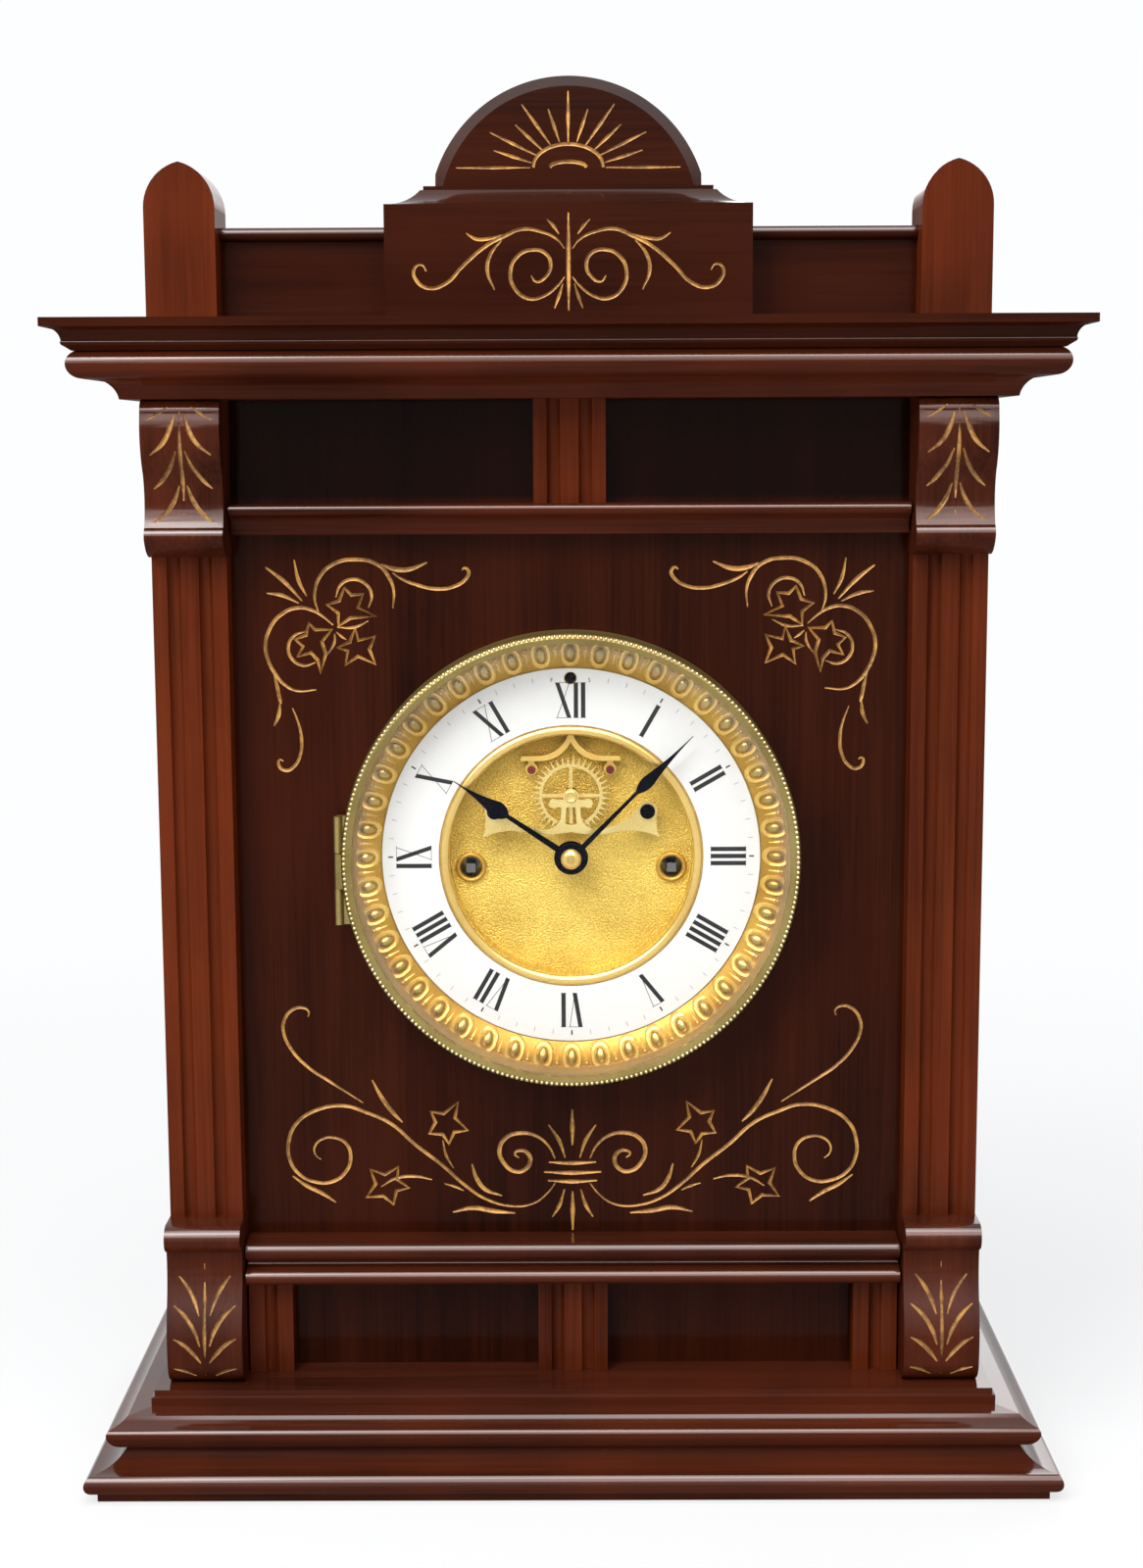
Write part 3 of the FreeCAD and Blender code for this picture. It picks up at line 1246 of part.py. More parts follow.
def make_front_plate():
    holes = train_pivots()
    holes += [(CENTRE, CENTRE_R + BIG_FIT), (ESCAPE, ARBOR_R + 0.6), (ANCHOR, ARBOR_R + PIVOT_FIT)]
    holes += [(TIME_WIND, WIND_R + BIG_FIT), (STRIKE_WIND, WIND_R + BIG_FIT)]
    holes += [((0, REGULATOR_Z), REGULATOR_R + PIVOT_FIT)]
    solid = plate(FRONT_PLATE, holes)
    stud = rod(MINUTE_STUD, HOUR_WHEEL_DEPTH - 1, FRONT_PLATE + 0.5, ARBOR_R)
    collar = rod(MINUTE_STUD, MOTION_DEPTH + WHEEL_T + 0.3, FRONT_PLATE + 0.5, ARBOR_R + 1.2)
    return joined([solid, stud, collar])


def make_back_plate():
    holes = train_pivots()
    holes += [(CENTRE, PIVOT_R + PIVOT_FIT), (ESCAPE, PIVOT_R + PIVOT_FIT), (ANCHOR, ARBOR_R + PIVOT_FIT)]
    holes += [(TIME_WIND, WIND_PIVOT_R + BIG_FIT), (STRIKE_WIND, WIND_PIVOT_R + BIG_FIT)]
    holes += [((0, REGULATOR_Z), REGULATOR_R + PIVOT_FIT)]
    return plate(BACK_PLATE, holes)


def make_plate_pillars():
    solids = []
    for spot in pillar_spots():
        body = rod(spot, FRONT_PLATE + PLATE_THICK, BACK_PLATE, PILLAR_R)
        pin = rod(spot, FRONT_PLATE - 1, BACK_PLATE + PLATE_THICK + 1, PILLAR_PIN_R)
        solids.append(body.fuse(pin).removeSplitter())
    for spot in post_spots():
        solids.append(rod(spot, PAN_BACK, FRONT_PLATE, POST_R))
    return Part.makeCompound(solids)


# Strike: coil gong on its stand, and the hammer

def make_gong():
    arcs = spiral(GONG_R, GONG_STEP, GONG_HALF_TURN_COUNT)
    print("gong least gap %.2f mm" % spiral_gap(arcs, 2 * GONG_WIRE_R))
    y = at(GONG_DEPTH)
    start = Vector(GONG_R, y, GONG_Z - 2 * GONG_WIRE_R)
    edges = [Part.LineSegment(start, Vector(GONG_R, y, GONG_Z)).toShape()]
    for centre, radius, side in arcs:
        a = Vector(centre + side * radius, y, GONG_Z)
        b = Vector(centre, y, GONG_Z + side * radius)
        c = Vector(centre - side * radius, y, GONG_Z)
        edges.append(Part.Arc(a, b, c).toShape())
    path = Part.Wire(edges)
    tip = Part.Wire([Part.Circle(start, Z_AXIS, GONG_WIRE_R).toShape()])
    coil = path.makePipeShell([tip], True, False)
    z = GONG_Z - 2 * GONG_WIRE_R
    head = block(GONG_R - 5.0, GONG_R + 1.3, y - 2.5, y + 9.0, z - 4.6, z)
    stem = post(GONG_R - 1.8, y + 6.5, Z_CASE + STAND_H - 1, z - 2, 2.4)
    foot = block(GONG_R - STAND_W / 2, GONG_R + STAND_W / 2, y + 6.5 - STAND_D / 2, y + 6.5 + STAND_D / 2,
                 Z_CASE, Z_CASE + STAND_H)
    stand = joined([foot, stem, head])
    return Part.makeCompound([coil, stand])


# Middle of the hammer head, resting just off the outer turn of the gong
def hammer_head():
    last = GONG_R + (GONG_HALF_TURN_COUNT - 1) * GONG_STEP
    away = last + GONG_WIRE_R + HAMMER_REST_GAP + HAMMER_HEAD_R
    turn = math.radians(135)
    return (away * math.cos(turn), GONG_Z - DIAL_Z + away * math.sin(turn))


def make_hammer():
    x, z = hammer_head()
    head = rod((x, z), GONG_DEPTH - HAMMER_HEAD_L / 2, GONG_DEPTH + HAMMER_HEAD_L / 2, HAMMER_HEAD_R)
    start = Vector(HAMMER[0], at(GONG_DEPTH), DIAL_Z + HAMMER[1])
    end = Vector(x, at(GONG_DEPTH), DIAL_Z + z)
    shank = Part.makeCylinder(1.0, (end - start).Length, start, end - start)
    collar = rod(HAMMER, GONG_DEPTH - 2.5, GONG_DEPTH + 2.5, 2.6)
    return joined([head, shank, collar] + arbor(HAMMER))


# Pendulum and its suspension behind the back plate

def make_suspension_cock():
    d0 = BACK_PLATE + PLATE_THICK
    low = DIAL_Z + ANCHOR_Z + 5.0
    high = DIAL_Z + REGULATOR_Z + COCK_W / 2
    arm = block(-COCK_W / 2, COCK_W / 2, at(d0), at(PENDULUM_DEPTH + 4), low, high)
    arm = arm.cut(rod((0, REGULATOR_Z), d0 - 1, d0 + REGULATOR_TAIL + 1, REGULATOR_COLLAR_R + BIG_FIT))
    spring = block(-0.15, 0.15, at(PENDULUM_DEPTH - 3), at(PENDULUM_DEPTH + 3), low - 4.6, low + 1)
    return arm.fuse(spring).removeSplitter()


def make_pendulum_rod():
    top = DIAL_Z + ANCHOR_Z
    low = top - PENDULUM_L - BOB_R - ROD_TAIL
    hook = block(-1.6, 1.6, at(PENDULUM_DEPTH - 3), at(PENDULUM_DEPTH + 3), top - 5.0, top + 0.1)
    wire = post(0, at(PENDULUM_DEPTH), low, top - 4.0, ROD_R)
    nut = post(0, at(PENDULUM_DEPTH), low + 1.5, low + 4.5, 4.0)
    return joined([hook, wire, nut])


def make_pendulum_bob():
    z = DIAL_Z + ANCHOR_Z - PENDULUM_L
    y = at(PENDULUM_DEPTH)
    half = BOB_T / 2
    points = [(0, y - half), (BOB_R, y - 0.8, BOB_R * 0.55, y - half * 0.72), (BOB_R, y + 0.8)]
    points += [(0, y + half, BOB_R * 0.55, y + half * 0.72)]
    face = outline(points, lambda r, depth: Vector(r, depth, z))
    lens = face.revolve(Vector(0, 0, z), Y_AXIS, 360)
    return lens.cut(post(0, y, z - 2 * BOB_R, z + 2 * BOB_R, ROD_R + 0.02))


def make_regulator_arbor():
    spot = (0, REGULATOR_Z)
    end = BACK_PLATE + PLATE_THICK
    shaft = rod(spot, SHELF_FRONT - 0.8, end + REGULATOR_TAIL, REGULATOR_R)
    collar = rod(spot, end + END_SHAKE, end + 1.2, REGULATOR_COLLAR_R)
    return shaft.fuse(collar).removeSplitter()


NODES = {
    "base_plinth": make_base_plinth,
    "base_moulding": make_base_moulding,
    "case_sides": make_case_sides,
    "front_panel": make_front_panel,
    "back_board": make_back_board,
    "pilasters": make_pilasters,
    "lower_brackets": make_lower_brackets,
    "upper_brackets": make_upper_brackets,
    "reed_blocks": make_reed_blocks,
    "lower_rail": make_lower_rail,
    "upper_rail": make_upper_rail,
    "cornice_bed": make_cornice_bed,
    "cornice_cap": make_cornice_cap,
    "finials": make_finials,
    "gallery": make_gallery,
    "crest_block": make_crest_block,
    "crest_cove": make_crest_cove,
    "crest_arch": make_crest_arch,
    "back_door": make_back_door,
    "door_hinge_leaves": make_door_hinge_leaves,
    "frame_hinge_leaves": make_frame_hinge_leaves,
    "door_button": make_door_button,
    "dial_sash": make_dial_sash,
    "egg_ring": make_egg_ring,
    "chapter_ring": make_chapter_ring,
    "inner_ring": make_inner_ring,
    "centre_plate": make_centre_plate,
    "bezel": make_bezel,
    "bezel_glass": make_bezel_glass,
    "hour_hand": make_hour_hand,
    "minute_hand": make_minute_hand,
    "hand_nut": make_hand_nut,
    "escape_bridge": make_escape_bridge,
    "bridge_screws": make_bridge_screws,
    "escape_wheel": make_escape_wheel,
    "anchor": make_anchor,
    "pallet_stones": make_pallet_stones,
    "front_plate": make_front_plate,
    "back_plate": make_back_plate,
    "plate_pillars": make_plate_pillars,
    "time_great_wheel": make_time_great_wheel,
    "second_wheel": make_second_wheel,
    "centre_wheel": make_centre_wheel,
    "third_wheel": make_third_wheel,
    "strike_great_wheel": make_strike_great_wheel,
    "pin_wheel": make_pin_wheel,
    "warning_wheel": make_warning_wheel,
    "fly": make_fly,
    "time_winding_arbor": make_time_winding_arbor,
    "strike_winding_arbor": make_strike_winding_arbor,
    "mainsprings": make_mainsprings,
    "cannon_pinion": make_cannon_pinion,
    "minute_wheel": make_minute_wheel,
    "hour_wheel": make_hour_wheel,
    "gong": make_gong,
    "hammer": make_hammer,
    "suspension_cock": make_suspension_cock,
    "pendulum_rod": make_pendulum_rod,
    "pendulum_bob": make_pendulum_bob,
    "regulator_arbor": make_regulator_arbor,
}

os.makedirs("parts", exist_ok=True)
for name, make in NODES.items():
    make().exportStep("parts/%s.step" % name)
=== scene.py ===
"""Looks of the shelf clock: carving, dial work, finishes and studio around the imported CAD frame."""

import json
import logging
import math
from dataclasses import dataclass
from enum import Enum
from typing import Any, Callable, Iterable

import bpy
from mathutils import Matrix, Vector

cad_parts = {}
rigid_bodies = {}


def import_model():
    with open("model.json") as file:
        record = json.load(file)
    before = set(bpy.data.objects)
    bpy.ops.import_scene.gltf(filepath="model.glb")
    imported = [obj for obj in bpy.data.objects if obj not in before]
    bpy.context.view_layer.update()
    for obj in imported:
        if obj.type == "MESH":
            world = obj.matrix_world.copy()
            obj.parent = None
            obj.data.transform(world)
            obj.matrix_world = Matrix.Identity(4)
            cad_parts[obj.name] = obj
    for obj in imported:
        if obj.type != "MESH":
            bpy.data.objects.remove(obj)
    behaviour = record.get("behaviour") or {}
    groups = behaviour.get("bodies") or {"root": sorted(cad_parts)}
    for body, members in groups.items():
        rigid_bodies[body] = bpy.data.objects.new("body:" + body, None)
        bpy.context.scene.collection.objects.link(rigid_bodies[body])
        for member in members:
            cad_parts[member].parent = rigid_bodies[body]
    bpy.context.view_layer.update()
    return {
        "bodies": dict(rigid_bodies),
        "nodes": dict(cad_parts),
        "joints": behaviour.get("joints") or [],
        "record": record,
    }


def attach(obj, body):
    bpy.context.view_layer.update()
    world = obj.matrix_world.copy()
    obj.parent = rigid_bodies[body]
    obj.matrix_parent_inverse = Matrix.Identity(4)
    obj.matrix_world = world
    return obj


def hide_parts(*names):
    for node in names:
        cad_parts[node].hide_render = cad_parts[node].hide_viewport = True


LOG = logging.getLogger("shelf_clock")
MM = 0.001
PANEL_Y = -23.5
DIAL_Z = 218.5
EVEN = (1.0, 1.0, 1.0)
FLAT = math.pi / 2
Colour = tuple[float, float, float, float]
Point = tuple[float, float]
Depth = Callable[[float, float], float]


class Grain(Enum):
    """Axis along which a board's grain runs."""

    X = 0
    Z = 2


class Wire:
    """A node socket that can be added, subtracted and multiplied like a number."""

    def __init__(self, net: "Net", socket: bpy.types.NodeSocket) -> None:
        """Holds an output socket and the net it belongs to."""
        self.net = net
        self.socket = socket

    def __add__(self, other: "Wire | float") -> "Wire":
        """Adds a number or another wire."""
        return self.net.math("ADD", self, other)

    def __sub__(self, other: "Wire | float") -> "Wire":
        """Takes a number or another wire away."""
        return self.net.math("SUBTRACT", self, other)

    def __rsub__(self, other: float) -> "Wire":
        """Takes the wire away from a number."""
        return self.net.math("SUBTRACT", other, self)

    def __mul__(self, other: "Wire | float") -> "Wire":
        """Multiplies by a number or another wire."""
        return self.net.math("MULTIPLY", self, other)

    __radd__ = __add__
    __rmul__ = __mul__


class Net:
    """Node tree of one material or of the world, built a node at a time."""

    SHOWN_RAYS = ("Is Camera Ray", "Is Glossy Ray", "Is Transmission Ray")

    def __init__(self, owner: bpy.types.ID, shader: str = "Principled BSDF") -> None:
        """Opens the node tree of a new material or world.

        Args:
            owner: The material or the world.
            shader: Name of the shader node that it starts with.
        """
        owner.use_nodes = True
        self.owner = owner
        self.tree = owner.node_tree
        self.shader = self.tree.nodes[shader]

    def link(self, value: Any, socket: bpy.types.NodeSocket) -> None:
        """Sets a socket from a wire or a plain value.

        Args:
            value: A Wire to link, or a constant to write on the socket.
            socket: The input socket to feed.
        """
        if isinstance(value, Wire):
            self.tree.links.new(value.socket, socket)
        else:
            socket.default_value = value

    def node(self, kind: str, sockets: dict[int | str, Any] | None = None, output: int | str = 0,
             settings: dict[str, Any] | None = None) -> Wire:
        """Adds a node.

        Args:
            kind: The node's type name.
            sockets: Values or wires by the name or number of the input.
            output: Name or number of the output to hand back.
            settings: Properties that are set before the inputs.
        Returns:
            A Wire on the chosen output.
        """
        node = self.tree.nodes.new(kind)
        for key, value in (settings or {}).items():
            setattr(node, key, value)
        for key, value in (sockets or {}).items():
            self.link(value, node.inputs[key])
        return Wire(self, node.outputs[output])

    def math(self, operation: str, first: Wire | float, second: Wire | float) -> Wire:
        """Works out one operation on two numbers or wires."""
        return self.node("ShaderNodeMath", {0: first, 1: second}, settings={"operation": operation})

    def mix(self, share: Wire | float, first: Wire | Colour, second: Wire | Colour) -> Wire:
        """Mixes two colours.

        Args:
            share: 0 for the first colour and 1 for the second.
            first: First colour.
            second: Second colour.
        Returns:
            A Wire on the mixed colour.
        """
        sockets = {"Factor": share, "A": first, "B": second}
        return self.node("ShaderNodeMix", sockets, "Result", {"data_type": "RGBA"})

    def spot(self, scale: tuple = EVEN, shift: tuple = (0, 0, 0)) -> Wire:
        """Object coordinates, stretched and shifted per axis.

        Args:
            scale: Factors for X, Y and Z.
            shift: Shift in metres after the stretch.
        Returns:
            A Wire on the vector.
        """
        place = self.node("ShaderNodeTexCoord", output="Object")
        return self.node("ShaderNodeMapping", {"Vector": place, "Location": shift, "Scale": scale})

    def height(self) -> Wire:
        """Height on the object in metres."""
        return self.node("ShaderNodeSeparateXYZ", {"Vector": self.spot()}, "Z")

    def length(self, vector: Wire) -> Wire:
        """Length of a vector."""
        return self.node("ShaderNodeVectorMath", {0: vector}, "Value", {"operation": "LENGTH"})

    def noise(self, size: float, detail: float, scale: tuple = EVEN) -> Wire:
        """Noise of a given grain.

        Args:
            size: Features per metre before the stretch.
            detail: Octaves of the noise.
            scale: Three stretch factors.
        Returns:
            A Wire on the noise value.
        """
        sockets = {"Vector": self.spot(scale), "Scale": size, "Detail": detail}
        return self.node("ShaderNodeTexNoise", sockets)

    def steps(self, value: Wire, span: Point) -> Wire:
        """Remaps a range to 0..1 and clamps it.

        Args:
            value: Wire to remap.
            span: Values that become 0 and 1.
        Returns:
            A Wire between 0 and 1.
        """
        sockets = {"Value": value, "From Min": span[0], "From Max": span[1]}
        return self.node("ShaderNodeMapRange", sockets)

    def seen(self) -> Wire:
        """One for rays that show the surroundings, to the camera, in metal or through glass."""
        camera, glossy, through = [self.node("ShaderNodeLightPath", output=ray) for ray in self.SHOWN_RAYS]
        return self.math("MAXIMUM", self.math("MAXIMUM", camera, glossy), through)

    def bump(self, height: Wire, distance: float, strength: float) -> None:
        """Feeds a bump into the shader's Normal.

        Args:
            height: Wire with the height.
            distance: Depth of the relief in metres.
            strength: Share of the relief to use.
        """
        sockets = {"Height": height, "Distance": distance, "Strength": strength}
        self.link(self.node("ShaderNodeBump", sockets), self.shader.inputs["Normal"])

    def set(self, sockets: dict[str, Any]) -> None:
        """Feeds the shader's sockets with values or wires, by name."""
        for key, value in sockets.items():
            self.link(value, self.shader.inputs[key])


@dataclass(frozen=True)
class LacqueredWood:
    """Lacquered hardwood with streaks along its grain, with painted shade that darkens it above a height."""

    name: str
    dark: Colour
    light: Colour
    red: Colour
    grain: Grain
    # Painted shade above a height: where it starts, its soft edge, its colour and its share.
    painted_shade_z: float = 9.0
    painted_shade_edge: float = 0.002
    painted_shade: Colour = (0.003, 0.0012, 0.0008, 1)
    painted_shade_share: float = 0.72
    streaks: float = 60.0
    streak_run: float = 3.0
    streak_detail: float = 4.0
    pores: float = 900.0
    pore_run: float = 18.0
    pore_share: float = 0.35
    pore_depth: float = 0.00005
    pore_relief: float = 0.6
    tone_span: Point = (0.34, 0.68)
    clouds: float = 14.0
    cloud_span: Point = (0.45, 0.75)
    cloud_share: float = 0.55
    fine_detail: float = 2.0
    rough: float = 0.26
    pore_rough: float = 0.14
    coat_rough: float = 0.12
    coat_least: float = 0.1
    coat_span: Point = (0.04, 0.4)

    def build(self) -> bpy.types.Material:
        """Makes the material.

        Returns:
            The Blender material.
        """
        net = Net(bpy.data.materials.new(self.name))
        bands = net.noise(1.0, self.streak_detail, self.along(self.streaks, self.streak_run))
        hairs = net.noise(1.0, self.fine_detail, self.along(self.pores, self.pore_run))
        cloud = net.noise(1.0, self.fine_detail, self.along(self.clouds, self.clouds))
        tone = net.steps(bands * (1 - self.pore_share) + hairs * self.pore_share, self.tone_span)
        colour = net.mix(tone, self.dark, self.light)
        colour = net.mix(net.steps(cloud, self.cloud_span) * self.cloud_share, colour, self.red)
        # Painted shade: darker above a height, standing in for the cornice's shadow on the frieze.
        painted_shade = net.steps(net.height(), (self.painted_shade_z, self.painted_shade_z + self.painted_shade_edge))
        colour = net.mix(painted_shade * self.painted_shade_share, colour, self.painted_shade)
        net.set({"Base Color": colour, "Roughness": self.rough + hairs * self.pore_rough,
                 "Specular IOR Level": 0.0, "Coat Weight": self.polish(net),
                 "Coat Roughness": self.coat_rough})
        net.bump(hairs, self.pore_depth, self.pore_relief)
        return net.owner

    def along(self, across: float, run: float) -> tuple:
        """Stretch of a pattern that runs with the grain.

        Args:
            across: Features per metre across the grain.
            run: Features per metre along the grain.
        Returns:
            Factors for X, Y and Z.
        """
        return tuple(run if axis == self.grain.value else across for axis in range(3))

    def polish(self, net: Net) -> Wire:
        """Weight of the polish, built up where mouldings face upwards.

        Args:
            net: The material's Net.
        Returns:
            A Wire on the coat weight.
        """
        normal = net.node("ShaderNodeNewGeometry", output="Normal")
        up = net.node("ShaderNodeSeparateXYZ", {"Vector": normal}, "Z")
        return self.coat_least + (1 - self.coat_least) * net.steps(up, self.coat_span)


@dataclass(frozen=True)
class GiltCut:
    """Ochre-gold paint in the carved grooves, worn in places."""

    name: str
    bright: Colour
    dull: Colour
    wear_size: float = 160.0
    wear_detail: float = 4.0
    wear_share: float = 0.6
    wear_span: Point = (0.40, 0.60)
    fine_size: float = 900.0
    fine_detail: float = 2.0
    fine_depth: float = 0.00004
    fine_relief: float = 0.5
    rough: float = 0.42
    wear_rough: float = 0.2
    metal: float = 0.15

    def build(self) -> bpy.types.Material:
        """Makes the material.

        Returns:
            The Blender material.
        """
        net = Net(bpy.data.materials.new(self.name))
        wear = net.noise(self.wear_size, self.wear_detail)
        fine = net.noise(self.fine_size, self.fine_detail)
        share = net.steps(wear * self.wear_share + fine * (1 - self.wear_share), self.wear_span)
        net.set({"Base Color": net.mix(share, self.dull, self.bright), "Metallic": self.metal,
                 "Roughness": self.rough + wear * self.wear_rough})
        net.bump(fine, self.fine_depth, self.fine_relief)
        return net.owner


@dataclass(frozen=True)
class Metal:
    """Metal with a patchy patina and fine wear."""

    name: str
    bright: Colour
    dull: Colour
    rough: float
    body: float = 1.0
    spread: float = 0.14
    patch_size: float = 55.0
    patch_detail: float = 4.0
    patch_share: float = 0.75
    patch_span: Point = (0.35, 0.66)
    fine_size: float = 1400.0
    fine_detail: float = 2.0

    def build(self) -> bpy.types.Material:
        """Makes the material.

        Returns:
            The Blender material.
        """
        net = Net(bpy.data.materials.new(self.name))
        patina = net.noise(self.patch_size, self.patch_detail)
        fine = net.noise(self.fine_size, self.fine_detail)
        share = net.steps(patina * self.patch_share + fine * (1 - self.patch_share), self.patch_span)
        net.set({"Base Color": net.mix(share, self.dull, self.bright), "Metallic": self.body,
                 "Roughness": self.rough + self.spread * (1.0 - share)})
        return net.owner


@dataclass(frozen=True)
class StippledGilt:
    """Gilt plate punched all over with fine dots, with painted shade towards its top, where the ring above
    shadows it.
    """

    name: str
    bright: Colour
    dull: Colour
    dots: float = 1500.0
    dot_scale: tuple = (1.0, 0.02, 1.0)
    dot_span: Point = (0.1, 0.6)
    dot_share: float = 0.5
    dot_depth: float = 0.0003
    dot_relief: float = 0.9
    patch_size: float = 60.0
    patch_detail: float = 4.0
    patch_span: Point = (0.35, 0.7)
    patch_share: float = 0.35
    painted_top_shade_span: Point = (0.215, 0.262)
    painted_top_shade_share: float = 0.45
    metal: float = 0.4
    rough: float = 0.36
    dot_rough: float = 0.2

    def build(self) -> bpy.types.Material:
        """Makes the material.

        Returns:
            The Blender material.
        """
        net = Net(bpy.data.materials.new(self.name))
        sockets = {"Vector": net.spot(self.dot_scale), "Scale": self.dots}
        cell = net.node("ShaderNodeTexVoronoi", sockets, "Distance")
        patina = net.noise(self.patch_size, self.patch_detail)
        share = net.steps(cell, self.dot_span) * self.dot_share
        share = share + net.steps(patina, self.patch_span) * self.patch_share
        # Painted shade: darker towards the plate's top, standing in for the ring's shadow.
        share = share + net.steps(net.height(), self.painted_top_shade_span) * self.painted_top_shade_share
        net.set({"Base Color": net.mix(share, self.bright, self.dull), "Metallic": self.metal,
                 "Roughness": self.rough + cell * self.dot_rough})
        net.bump(1.0 - cell, self.dot_depth, self.dot_relief)
        return net.owner


@dataclass(frozen=True)
class Glaze:
    """White fired enamel, ink on it, or a polished stone."""

    name: str
    colour: Colour
    shade: Colour
    rough: float
    cloud_size: float = 40.0
    cloud_detail: float = 3.0
    cloud_span: Point = (0.4, 0.7)
    cloud_rough: float = 0.05

    def build(self) -> bpy.types.Material:
        """Makes the material.

        Returns:
            The Blender material.
        """
        net = Net(bpy.data.materials.new(self.name))
        cloud = net.noise(self.cloud_size, self.cloud_detail)
        colour = net.mix(net.steps(cloud, self.cloud_span), self.colour, self.shade)
        net.set({"Base Color": colour, "Roughness": self.rough + cloud * self.cloud_rough})
        return net.owner


@dataclass(frozen=True)
class BevelledGlass:
    """Clear glass with a painted reflection in its bevelled edge, a paler and less clear band."""

    name: str
    clear: Colour = (0.03, 0.035, 0.03, 1)
    # Colour of the painted reflection in the bevel.
    pale: Colour = (0.86, 0.88, 0.78, 1)
    bevel: Point = (0.0692, 0.0752)
    alpha: float = 0.02
    bevel_alpha: float = 0.09
    rough: float = 0.03
    bevel_rough: float = 0.1
    ior: float = 1.5

    def build(self) -> bpy.types.Material:
        """Makes the material.

        Returns:
            The Blender material.
        """
        net = Net(bpy.data.materials.new(self.name))
        reach = net.length(net.spot((1, 0, 1), (0, 0, -DIAL_Z * MM)))
        # Painted reflection: a paler, less clear band across the bevel.
        band = net.steps(reach, self.bevel)
        net.set({"Base Color": net.mix(band, self.clear, self.pale), "IOR": self.ior,
                 "Alpha": self.alpha + band * self.bevel_alpha,
                 "Roughness": self.rough + band * self.bevel_rough})
        return net.owner


